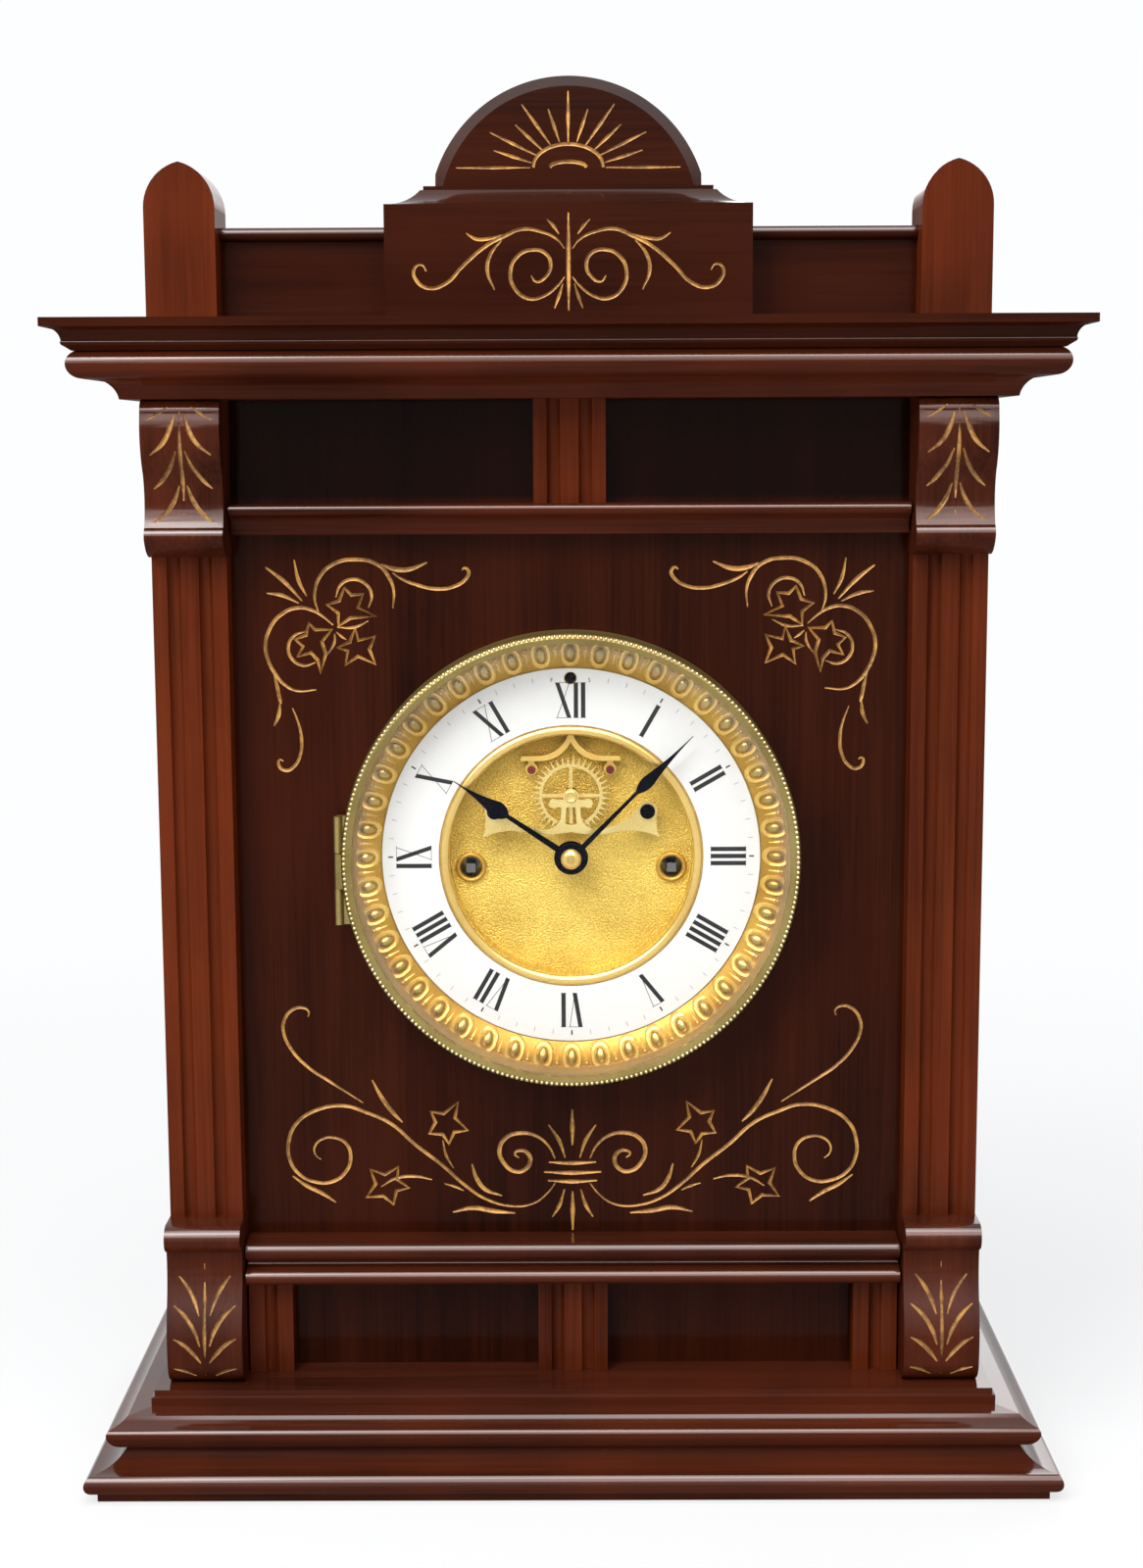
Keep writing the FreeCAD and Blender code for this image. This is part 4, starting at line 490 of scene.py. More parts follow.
class Finishes:
    """Every finish on the clock, made once, and the finish of each CAD node."""

    MAHOGANY = ((0.011, 0.0018, 0.0006, 1), (0.042, 0.0085, 0.0030, 1), (0.052, 0.0085, 0.0022, 1))
    WARM = ((0.024, 0.0048, 0.0021, 1), (0.084, 0.0180, 0.0078, 1), (0.110, 0.0200, 0.0066, 1))
    RED = ((0.040, 0.0068, 0.0020, 1), (0.125, 0.0235, 0.0072, 1), (0.160, 0.0255, 0.0058, 1))
    FRIEZE_Z = 0.3415
    ALL = (
        LacqueredWood("mahogany_x", *MAHOGANY, Grain.X),
        LacqueredWood("mahogany_z", *MAHOGANY, Grain.Z),
        LacqueredWood("warm_mahogany_x", *WARM, Grain.X),
        LacqueredWood("warm_mahogany_z", *WARM, Grain.Z),
        LacqueredWood("red_mahogany_z", *RED, Grain.Z),
        # The front panel's frieze, above FRIEZE_Z under the cornice, gets painted shade.
        LacqueredWood("panel_mahogany_painted_shade", *MAHOGANY, Grain.Z, painted_shade_z=FRIEZE_Z),
        GiltCut("gilt_cut", (0.56, 0.31, 0.075, 1), (0.22, 0.105, 0.026, 1)),
        GiltCut("worn_gilt", (0.46, 0.25, 0.065, 1), (0.17, 0.075, 0.022, 1)),
        Metal("olive_brass", (0.44, 0.35, 0.13, 1), (0.26, 0.19, 0.06, 1), 0.26, 0.75),
        Metal("dim_olive_brass", (0.31, 0.245, 0.085, 1), (0.18, 0.135, 0.04, 1), 0.28, 0.75),
        Metal("bead_brass", (0.66, 0.56, 0.29, 1), (0.46, 0.38, 0.17, 1), 0.16, 0.85),
        Metal("egg_brass", (0.58, 0.43, 0.15, 1), (0.33, 0.22, 0.055, 1), 0.2, 0.7),
        Metal("brass", (0.78, 0.55, 0.19, 1), (0.48, 0.31, 0.09, 1), 0.24, 0.8),
        Metal("gilt_brass", (0.88, 0.62, 0.17, 1), (0.66, 0.40, 0.08, 1), 0.24, 0.5),
        Metal("dull_gilt", (0.56, 0.33, 0.05, 1), (0.36, 0.19, 0.022, 1), 0.34, 0.45),
        Metal("polished_brass", (0.90, 0.66, 0.22, 1), (0.74, 0.50, 0.14, 1), 0.14, 0.7, 0.06),
        Metal("pale_brass", (0.88, 0.72, 0.30, 1), (0.74, 0.56, 0.19, 1), 0.2, 0.6, 0.08),
        Metal("dark_steel", (0.20, 0.20, 0.20, 1), (0.10, 0.095, 0.09, 1), 0.3),
        Metal("steel", (0.55, 0.55, 0.56, 1), (0.34, 0.33, 0.33, 1), 0.28),
        Metal("blued_steel", (0.016, 0.018, 0.03, 1), (0.005, 0.005, 0.008, 1), 0.22),
        StippledGilt("stippled_gilt", (0.88, 0.67, 0.14, 1), (0.45, 0.30, 0.042, 1)),
        Glaze("enamel", (0.88, 0.88, 0.86, 1), (0.85, 0.85, 0.83, 1), 0.12),
        Glaze("ink", (0.004, 0.004, 0.005, 1), (0.012, 0.012, 0.015, 1), 0.3),
        Glaze("faint_ink", (0.30, 0.30, 0.31, 1), (0.40, 0.40, 0.41, 1), 0.3),
        Glaze("ruby", (0.13, 0.008, 0.004, 1), (0.22, 0.02, 0.008, 1), 0.06),
        BevelledGlass("clear_glass"),
    )
    NODES = {
        "mahogany_x": "cornice_cap gallery crest_block crest_cove crest_arch",
        "mahogany_z": "case_sides back_board back_door",
        "warm_mahogany_x": "base_plinth base_moulding lower_rail upper_rail cornice_bed",
        "warm_mahogany_z": "lower_brackets upper_brackets",
        "red_mahogany_z": "reed_blocks pilasters finials",
        "panel_mahogany_painted_shade": "front_panel",
        "enamel": "chapter_ring",
        "clear_glass": "bezel_glass",
        "ruby": "pallet_stones",
        "blued_steel": "hour_hand minute_hand bridge_screws regulator_arbor",
        "olive_brass": "dial_sash",
        "dim_olive_brass": "bezel",
        "gilt_brass": "egg_ring anchor",
        "polished_brass": "inner_ring hand_nut",
        "stippled_gilt": "centre_plate",
        "pale_brass": "escape_bridge escape_wheel",
        "dark_steel": "time_winding_arbor strike_winding_arbor",
        "steel": "plate_pillars mainsprings cannon_pinion gong hammer pendulum_rod",
    }
    REST = "brass"

    def __init__(self) -> None:
        """Makes every finish."""
        self.made = {finish.name: finish.build() for finish in self.ALL}

    def __getitem__(self, name: str) -> bpy.types.Material:
        """Finds a finish by its name."""
        return self.made[name]

    def dress(self, nodes: dict[str, bpy.types.Object]) -> None:
        """Gives each CAD node its finish.

        Args:
            nodes: The frame's nodes by name.
        """
        table = {node: finish for finish, names in self.NODES.items() for node in names.split()}
        for name, node in nodes.items():
            node.data.materials.clear()
            node.data.materials.append(self[table.get(name, self.REST)])


class Bench:
    """Shared ways to make and shape new pieces."""

    MERGE_GAP = 0.000004

    @staticmethod
    def clear() -> None:
        """Deselects everything, so that an operator works only on the new piece."""
        bpy.ops.object.select_all(action="DESELECT")

    @staticmethod
    def pick(piece: bpy.types.Object) -> None:
        """Makes one piece the only selected and active one.

        Args:
            piece: The object to select.
        """
        Bench.clear()
        piece.select_set(True)
        bpy.context.view_layer.objects.active = piece

    @staticmethod
    def merge(piece: bpy.types.Object, gap: float, outward: bool = False) -> None:
        """Merges a piece's doubled points.

        Args:
            piece: The object.
            gap: Largest distance that is merged, in metres.
            outward: Whether its faces are turned outwards afterwards.
        """
        Bench.pick(piece)
        bpy.ops.object.mode_set(mode="EDIT")
        bpy.ops.mesh.select_all(action="SELECT")
        bpy.ops.mesh.remove_doubles(threshold=gap)
        if outward:
            bpy.ops.mesh.normals_make_consistent(inside=False)
        bpy.ops.object.mode_set(mode="OBJECT")

    @staticmethod
    def settle(piece: bpy.types.Object, name: str, material: bpy.types.Material) -> bpy.types.Object:
        """Names a piece, applies its place and gives it its finish.

        Args:
            piece: The object.
            name: Its new name.
            material: Its finish.
        Returns:
            The object.
        """
        Bench.pick(piece)
        bpy.ops.object.transform_apply(location=True, rotation=True, scale=True)
        piece.name = name
        piece.data.name = name
        piece.data.materials.clear()
        piece.data.materials.append(material)
        return piece

    @staticmethod
    def join(pieces: list[bpy.types.Object]) -> bpy.types.Object:
        """Joins pieces into the first one.

        Args:
            pieces: Objects to join.
        Returns:
            The joined object.
        """
        Bench.clear()
        for piece in pieces:
            piece.select_set(True)
        bpy.context.view_layer.objects.active = pieces[0]
        bpy.ops.object.join()
        return pieces[0]

    @staticmethod
    def copy_of(piece: bpy.types.Object, name: str) -> bpy.types.Object:
        """Copies an object with its own mesh.

        Args:
            piece: The object to copy.
            name: Name of the copy.
        Returns:
            The new object.
        """
        copy = bpy.data.objects.new(name, piece.data.copy())
        bpy.context.scene.collection.objects.link(copy)
        return copy

    @staticmethod
    def copy_node(node: bpy.types.Object, name: str) -> bpy.types.Object:
        """Copies a CAD node into a new piece with its doubled points merged.

        Args:
            node: The CAD node.
            name: Name of the copy.
        Returns:
            The new object.
        """
        piece = Bench.copy_of(node, name)
        Bench.merge(piece, Bench.MERGE_GAP)
        bpy.ops.mesh.customdata_custom_splitnormals_clear()
        return piece

    @staticmethod
    def about_dial(turn: float) -> Matrix:
        """Turn about the dial's axis.

        Args:
            turn: Clockwise turn in degrees, seen from the front.
        Returns:
            The turn as a matrix.
        """
        middle = Matrix.Translation((0, 0, DIAL_Z * MM))
        return middle @ Matrix.Rotation(math.radians(turn), 4, "Y") @ middle.inverted()

    @staticmethod
    def ring(piece: bpy.types.Object, turns: Iterable[float]) -> list[bpy.types.Object]:
        """Copies a piece that stands at the top of the dial to other turns, and removes it.

        Args:
            piece: The piece to copy.
            turns: Clockwise turns in degrees.
        Returns:
            The copies.
        """
        copies = []
        for turn in turns:
            copy = Bench.copy_of(piece, piece.name)
            copy.data.transform(Bench.about_dial(turn))
            copies.append(copy)
        bpy.data.objects.remove(piece)
        return copies

    @staticmethod
    def flat_back(piece: bpy.types.Object, seat: float) -> None:
        """Presses what stands behind a depth flat, so that a piece lies on its seat.

        Args:
            piece: The object, its front towards -Y.
            seat: Depth of its flat back in metres.
        """
        Bench.pick(piece)
        bpy.ops.object.mode_set(mode="EDIT")
        bpy.ops.mesh.select_all(action="DESELECT")
        bpy.ops.object.mode_set(mode="OBJECT")
        for vertex in piece.data.vertices:
            vertex.select = vertex.co.y > seat
        bpy.ops.object.mode_set(mode="EDIT")
        bpy.ops.transform.resize(value=(1, 0, 1), center_override=(0, seat, 0))
        bpy.ops.object.mode_set(mode="OBJECT")

    @staticmethod
    def smooth(piece: bpy.types.Object, degrees: float) -> None:
        """Shades a piece smooth up to an angle.

        Args:
            piece: The object.
            degrees: Largest angle that is smoothed.
        """
        Bench.pick(piece)
        bpy.ops.object.shade_smooth_by_angle(angle=math.radians(degrees))

    @staticmethod
    def fit(piece: bpy.types.Object, body: str, slot: str, instead: str = "") -> bpy.types.Object:
        """Tells the frame what a piece rides on and stands for.

        Args:
            piece: The finished object.
            body: Body that it rides on.
            slot: Material slot of the part; not used.
            instead: CAD node that it replaces, if any.
        Returns:
            The object.
        """
        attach(piece, body)
        if instead:
            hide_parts(instead)
        return piece


@dataclass(frozen=True)
class Stroke:
    """One gouge cut: points (x, z) in mm on the face, and its half width."""

    points: tuple[Point, ...]
    width: float = 0.74
    closed: bool = False
    taper: float = 0.35
    mirror: bool = True


def curl(middle: Point, radius: float, start: float, turns: float) -> tuple[Point, ...]:
    """Points along part of a circle.

    Args:
        middle: Middle of the circle, (x, z) in mm.
        radius: Its radius.
        start: Bearing of the start in degrees.
        turns: Turns to make, positive anticlockwise.
    Returns:
        The points.
    """
    points_per_turn = 8
    count = max(5, round(abs(turns) * points_per_turn))
    bearings = [math.radians(start + 360 * turns * i / count) for i in range(count + 1)]
    return tuple((middle[0] + radius * math.cos(b), middle[1] + radius * math.sin(b)) for b in bearings)


@dataclass(frozen=True)
class Carver:
    """Cuts gilt grooves into a copy of a wooden piece."""

    gilt: bpy.types.Material
    swell: float = 2.2
    curve_steps: int = 5
    merge_gap: float = 0.00001
    box_gap: float = 0.00001
    crease: float = 24

    def cutter(self, stroke: Stroke, side: int, depth: Depth) -> bpy.types.Object:
        """Makes the cutting tube of one stroke.

        Args:
            stroke: The Stroke to cut.
            side: 1 as drawn, -1 for its mirror image.
            depth: Gives the face's depth in mm at (x, z) in mm.
        Returns:
            The cutter as a mesh object.
        """
        Bench.clear()
        bpy.ops.curve.primitive_nurbs_path_add(location=(0, 0, 0))
        path = bpy.context.object
        curve = path.data
        curve.splines.clear()
        spline = curve.splines.new("BEZIER")
        last = len(stroke.points) - 1
        spline.bezier_points.add(last)
        for i, (x, z) in enumerate(stroke.points):
            point = spline.bezier_points[i]
            point.co = (side * x * MM, depth(side * x, z) * MM, z * MM)
            point.handle_left_type = point.handle_right_type = "VECTOR" if stroke.closed else "AUTO"
            inward = min(1, self.swell * min(i, last - i) / max(1, last / 2))
            point.radius = 1.0 if stroke.closed else stroke.taper + (1 - stroke.taper) * inward
        spline.use_cyclic_u = stroke.closed
        spline.resolution_u = 1 if stroke.closed else self.curve_steps
        curve.dimensions = "3D"
        curve.twist_mode = "MINIMUM"
        curve.bevel_depth = stroke.width * MM
        curve.bevel_resolution = 1
        curve.use_fill_caps = not stroke.closed
        Bench.pick(path)
        bpy.ops.object.convert(target="MESH")
        tool = bpy.context.object
        Bench.merge(tool, self.merge_gap, True)
        tool.data.materials.clear()
        tool.data.materials.append(self.gilt)
        return tool

    def carve(self, piece: bpy.types.Object, strokes: Iterable[Stroke], depth: Depth) -> None:
        """Cuts strokes into a piece.

        Args:
            piece: The wooden piece, with its own mesh.
            strokes: Strokes to cut.
            depth: Gives the face's depth in mm at (x, z) in mm.
        """
        if self.gilt.name not in [m.name for m in piece.data.materials]:
            piece.data.materials.append(self.gilt)
        for stroke in strokes:
            for side in (1, -1) if stroke.mirror else (1,):
                if not self.cut(piece, self.cutter(stroke, side, depth)):
                    LOG.warning("%s: a stroke at %s was left out", piece.name, stroke.points[0])
        Bench.smooth(piece, self.crease)

    def cut(self, piece: bpy.types.Object, tool: bpy.types.Object) -> bool:
        """Takes one cutter out of a piece, and keeps the piece as it was where the cut fails.

        Args:
            piece: The wooden piece.
            tool: The cutter, removed afterwards.
        Returns:
            True where the cut worked.
        """
        kept = piece.data.copy()
        cut = piece.modifiers.new("cut", "BOOLEAN")
        cut.operation = "DIFFERENCE"
        cut.solver = "MANIFOLD"
        cut.material_mode = "TRANSFER"
        cut.object = tool
        Bench.pick(piece)
        bpy.ops.object.modifier_apply(modifier=cut.name)
        done = len(piece.data.polygons) >= len(kept.polygons) and self.same_box(piece.data, kept)
        if not done:
            piece.data = kept
        bpy.data.objects.remove(tool)
        return done

    def same_box(self, mesh: bpy.types.Mesh, other: bpy.types.Mesh) -> bool:
        """Compares two meshes' extents.

        Args:
            mesh: First mesh.
            other: Second mesh.
        Returns:
            True where they agree.
        """
        for axis in range(3):
            for pick in (min, max):
                a = pick(v.co[axis] for v in mesh.vertices)
                b = pick(v.co[axis] for v in other.vertices)
                if abs(a - b) > self.box_gap:
                    return False
        return True


@dataclass(frozen=True)
class FrontPanel:
    """Front board with its gilt carving, drawn for the left side and mirrored, in mm."""

    upper: tuple[Stroke, ...] = (
        Stroke(((-86.7, 303.6), (-88.0, 308.8), (-85.8, 316.4), (-81.0, 320.4), (-74.5, 321.8),
                (-65.9, 319.9), (-62.1, 315.3), (-60.7, 310.9), (-61.1, 305.0))),
        Stroke(((-81.8, 299.3), (-85.3, 302.3), (-89.1, 304.5), (-93.9, 305.3), (-99.9, 302.8),
                (-103.7, 298.0), (-105.3, 292.0), (-104.2, 286.6), (-102.0, 282.3), (-99.3, 279.0),
                (-95.0, 276.6), (-88.0, 276.9))),
        Stroke(((-64.8, 320.1), (-60.5, 318.5), (-55.6, 318.3), (-49.1, 320.7)), 0.95),
        Stroke(((-61.0, 317.2), (-58.3, 315.3), (-52.9, 313.1), (-45.9, 311.6), (-39.4, 312.6),
                (-35.6, 315.3), (-34.8, 317.4), (-36.2, 318.8), (-37.2, 318.0)), 0.7),
        Stroke(((-104.7, 319.3), (-98.8, 314.7), (-92.3, 307.7)), 0.9),
        Stroke(((-94.8, 321.8), (-93.4, 314.7), (-90.7, 309.3)), 0.8),
        Stroke(((-104.5, 310.4), (-99.3, 309.6), (-93.4, 306.9)), 0.8),
        Stroke(curl((-74.5, 308.8), 6.2, 180, -0.6), 0.65),
        Stroke(((-69.6, 300.7), (-74.5, 298.5), (-80.4, 298.5)), 0.6),
        Stroke(curl((-91.5, 291.2), 5.9, 90, 0.6), 0.65),
        Stroke(((-81.3, 296.3), (-81.5, 293.1), (-84.2, 288.8)), 0.6),
        Stroke(((-77.7, 312.0), (-75.3, 309.6), (-71.3, 309.9), (-73.2, 305.3), (-66.9, 302.3),
                (-75.8, 301.7), (-79.9, 299.0), (-79.9, 303.4), (-83.7, 306.3), (-79.6, 307.6)),
                0.75, True),
        Stroke(((-90.2, 299.9), (-88.0, 297.7), (-82.3, 297.7), (-85.8, 293.6), (-84.5, 289.3),
                (-86.4, 282.8), (-87.2, 287.1), (-89.6, 289.8), (-94.2, 288.5), (-92.3, 292.0),
                (-95.0, 294.4), (-91.2, 295.8)), 0.75, True),
        Stroke(((-74.2, 298.2), (-73.2, 293.9), (-67.5, 295.3), (-69.4, 290.9), (-67.5, 285.8),
                (-73.4, 288.5), (-77.7, 285.5), (-76.9, 290.4), (-80.4, 291.5), (-76.1, 293.4)),
                0.78, True),
        Stroke(((-80.7, 296.9), (-79.0, 295.4), (-77.2, 294.2)), 0.55),
        Stroke(((-102.6, 282.8), (-101.5, 277.9), (-100.7, 273.6), (-100.2, 272.0)), 0.75),
        Stroke(((-100.7, 272.5), (-101.2, 268.2), (-102.9, 264.4)), 0.85),
        Stroke(((-96.4, 270.6), (-94.5, 265.5), (-93.5, 260.1), (-94.2, 253.6), (-96.6, 249.8),
                (-99.3, 248.7), (-101.5, 250.4), (-101.2, 252.5), (-99.9, 252.0)), 0.65),
    )
    lower: tuple[Stroke, ...] = (
        Stroke(((-93.2, 160.8), (-92.9, 162.7), (-95.1, 164.2), (-99.1, 163.1), (-101.7, 159.3),
                (-102.0, 155.5), (-99.1, 148.7), (-93.2, 142.3), (-86.7, 137.8), (-79.3, 132.9),
                (-74.2, 129.5)), 0.65),
        Stroke(((-89.6, 108.8), (-91.4, 110.3), (-91.8, 113.3), (-88.9, 116.3), (-84.5, 116.7),
                (-80.4, 114.4), (-79.0, 109.5), (-80.8, 104.2), (-85.9, 100.5), (-91.8, 100.5),
                (-97.6, 103.5), (-100.9, 109.5), (-100.9, 115.6), (-98.4, 121.6), (-91.8, 126.5),
                (-80.8, 128.4), (-73.5, 126.1), (-64.7, 122.0), (-55.9, 114.1), (-46.4, 106.5),
                (-39.1, 99.7), (-31.8, 94.4), (-22.3, 91.4), (-14.3, 92.2), (-9.1, 96.0), (-6.2, 99.7))),
        Stroke(((-70.9, 137.8), (-67.6, 131.4), (-63.6, 125.7), (-60.3, 122.3)), 0.9),
        Stroke(((-35.8, 106.9), (-34.0, 101.2), (-31.1, 97.5), (-25.2, 95.2)), 0.9),
        Stroke(((-42.8, 89.2), (-35.5, 90.7), (-28.2, 89.5), (-20.5, 88.8)), 1.0),
        Stroke(((-99.8, 102.7), (-94.7, 99.0), (-88.9, 96.0), (-84.5, 92.9)), 0.85),
        Stroke(((-45.7, 99.7), (-42.0, 98.6), (-38.8, 97.1)), 0.6),
        Stroke(((-40.6, 129.5), (-41.7, 123.9), (-37.3, 119.3), (-42.1, 118.6), (-43.9, 114.4),
                (-46.1, 117.8), (-50.8, 118.2), (-48.6, 122.3), (-50.1, 126.1), (-45.7, 125.4)),
                0.78, True),
        Stroke(((-46.1, 115.6), (-45.0, 110.3), (-42.4, 105.4)), 0.6),
        Stroke(((-72.0, 105.0), (-66.9, 103.1), (-62.2, 105.8), (-62.5, 101.2), (-58.5, 98.2),
                (-62.9, 97.1), (-64.0, 92.2), (-67.6, 95.2), (-73.5, 94.8), (-70.2, 99.7)), 0.78, True),
        Stroke(((-68.4, 98.6), (-63.3, 101.6), (-55.9, 102.4), (-50.1, 101.2)), 0.65),
        Stroke(((-19.0, 109.1), (-20.5, 110.7), (-18.7, 111.8), (-16.1, 111.0), (-15.0, 108.0),
                (-17.2, 104.6), (-20.8, 104.2), (-24.5, 107.3), (-26.0, 111.8), (-23.8, 116.3),
                (-18.6, 118.2), (-12.8, 117.1), (-8.4, 113.3), (-6.2, 108.8)), 0.85),
        Stroke(((-8.4, 107.5), (0.0, 107.1), (8.4, 107.5)), 0.9, mirror=False),
        Stroke(((-10.2, 103.9), (0.0, 103.5), (10.2, 103.9)), 0.95, mirror=False),
        Stroke(((-8.8, 100.7), (0.0, 100.3), (8.8, 100.7)), 0.9, mirror=False),
        Stroke(((0.0, 126.9), (0.0, 120.0), (0.0, 113.7)), 0.85, mirror=False),
        Stroke(((-8.4, 121.2), (-4.8, 115.6), (-2.6, 109.1)), 0.8),
        Stroke(((0.0, 96.7), (0.0, 90.0), (0.0, 82.4)), 0.85, mirror=False),
        Stroke(((-2.9, 97.5), (-4.8, 91.4), (-7.3, 87.3)), 0.8),
    )

    def build(self, frame: dict[str, Any], finishes: Finishes) -> list[bpy.types.Object]:
        """Carves a copy of the front board.

        Args:
            frame: The loaded frame.
            finishes: The clock's finishes.
        Returns:
            The new pieces.
        """
        piece = Bench.copy_node(frame["nodes"]["front_panel"], "carved_panel")
        Carver(finishes["gilt_cut"]).carve(piece, self.upper + self.lower, lambda x, z: PANEL_Y)
        return [Bench.fit(piece, "case", "mahogany", "front_panel")]


@dataclass(frozen=True)
class Brackets:
    """Scrolled brackets with leaf sprays, drawn round a bracket's middle line, in mm."""

    middle: float = 129.25
    ray_start: float = -0.5
    upper: tuple[Stroke, ...] = (
        Stroke(((0.0, 372.5), (0.0, 360.0), (0.0, 348.0), (0.0, 337.0)), 0.7, mirror=False),
        Stroke(((-4.0, 373.4), (-7.0, 371.3), (-10.8, 369.2)), 0.6),
        Stroke(((-1.6, 371.0), (-3.0, 366.5), (-5.6, 361.5), (-10.2, 357.6)), 0.85),
        Stroke(((-1.5, 359.0), (-4.0, 353.0), (-7.0, 349.0), (-9.8, 346.4)), 0.8),
        Stroke(((-1.3, 347.5), (-3.4, 342.0), (-6.4, 338.0), (-9.8, 335.2)), 0.9),
    )
    lower: tuple[Stroke, ...] = (
        Stroke(((0.0, 76.5), (0.0, 64.0), (0.0, 50.0), (0.0, 36.5)), 0.7, mirror=False),
        Stroke(((-9.0, 72.0), (-6.0, 68.0), (-3.4, 63.0), (-1.9, 58.5)), 0.8),
        Stroke(((-10.8, 62.0), (-7.0, 58.6), (-3.4, 53.0), (-1.7, 47.8)), 0.85),
        Stroke(((-11.0, 50.6), (-7.6, 48.6), (-4.0, 45.0), (-1.5, 41.6)), 0.85),
        Stroke(((-11.0, 39.4), (-7.6, 38.6), (-3.4, 36.4)), 0.75),
    )

    def build(self, frame: dict[str, Any], finishes: Finishes) -> list[bpy.types.Object]:
        """Carves copies of the brackets along their curved faces.

        Args:
            frame: The loaded frame.
            finishes: The clock's finishes.
        Returns:
            The new pieces.
        """
        carver = Carver(finishes["worn_gilt"])
        pieces = []
        for name, strokes in (("upper_brackets", self.upper), ("lower_brackets", self.lower)):
            probe = frame["nodes"][name]
            piece = Bench.copy_node(probe, "carved_" + name)
            for side in (-1, 1):
                moved = [self.shifted(stroke, side * self.middle, flip) for stroke in strokes
                         for flip in ((1, -1) if stroke.mirror else (1,))]
                carver.carve(piece, moved, lambda x, z: self.face(probe, x, z))
            pieces.append(Bench.fit(piece, "case", "red_mahogany", name))
        return pieces

    def shifted(self, stroke: Stroke, x: float, flip: int) -> Stroke:
        """Moves a stroke from a bracket's middle to its place.

        Args:
            stroke: The Stroke round the bracket's middle line.
            x: The bracket's middle in mm.
            flip: 1 as drawn, -1 mirrored about the bracket's middle.
        Returns:
            The moved Stroke.
        """
        points = tuple((x + flip * a, z) for a, z in stroke.points)
        return Stroke(points, stroke.width, stroke.closed, stroke.taper, False)

    def face(self, probe: bpy.types.Object, x: float, z: float) -> float:
        """Finds the front of a curved face.

        Args:
            probe: The CAD node to look at.
            x: Place across in mm.
            z: Height in mm.
        Returns:
            The face's depth in mm.
        """
        hit, spot, _, _ = probe.ray_cast(Vector((x * MM, self.ray_start, z * MM)), Vector((0, 1, 0)))
        return spot.y / MM if hit else PANEL_Y


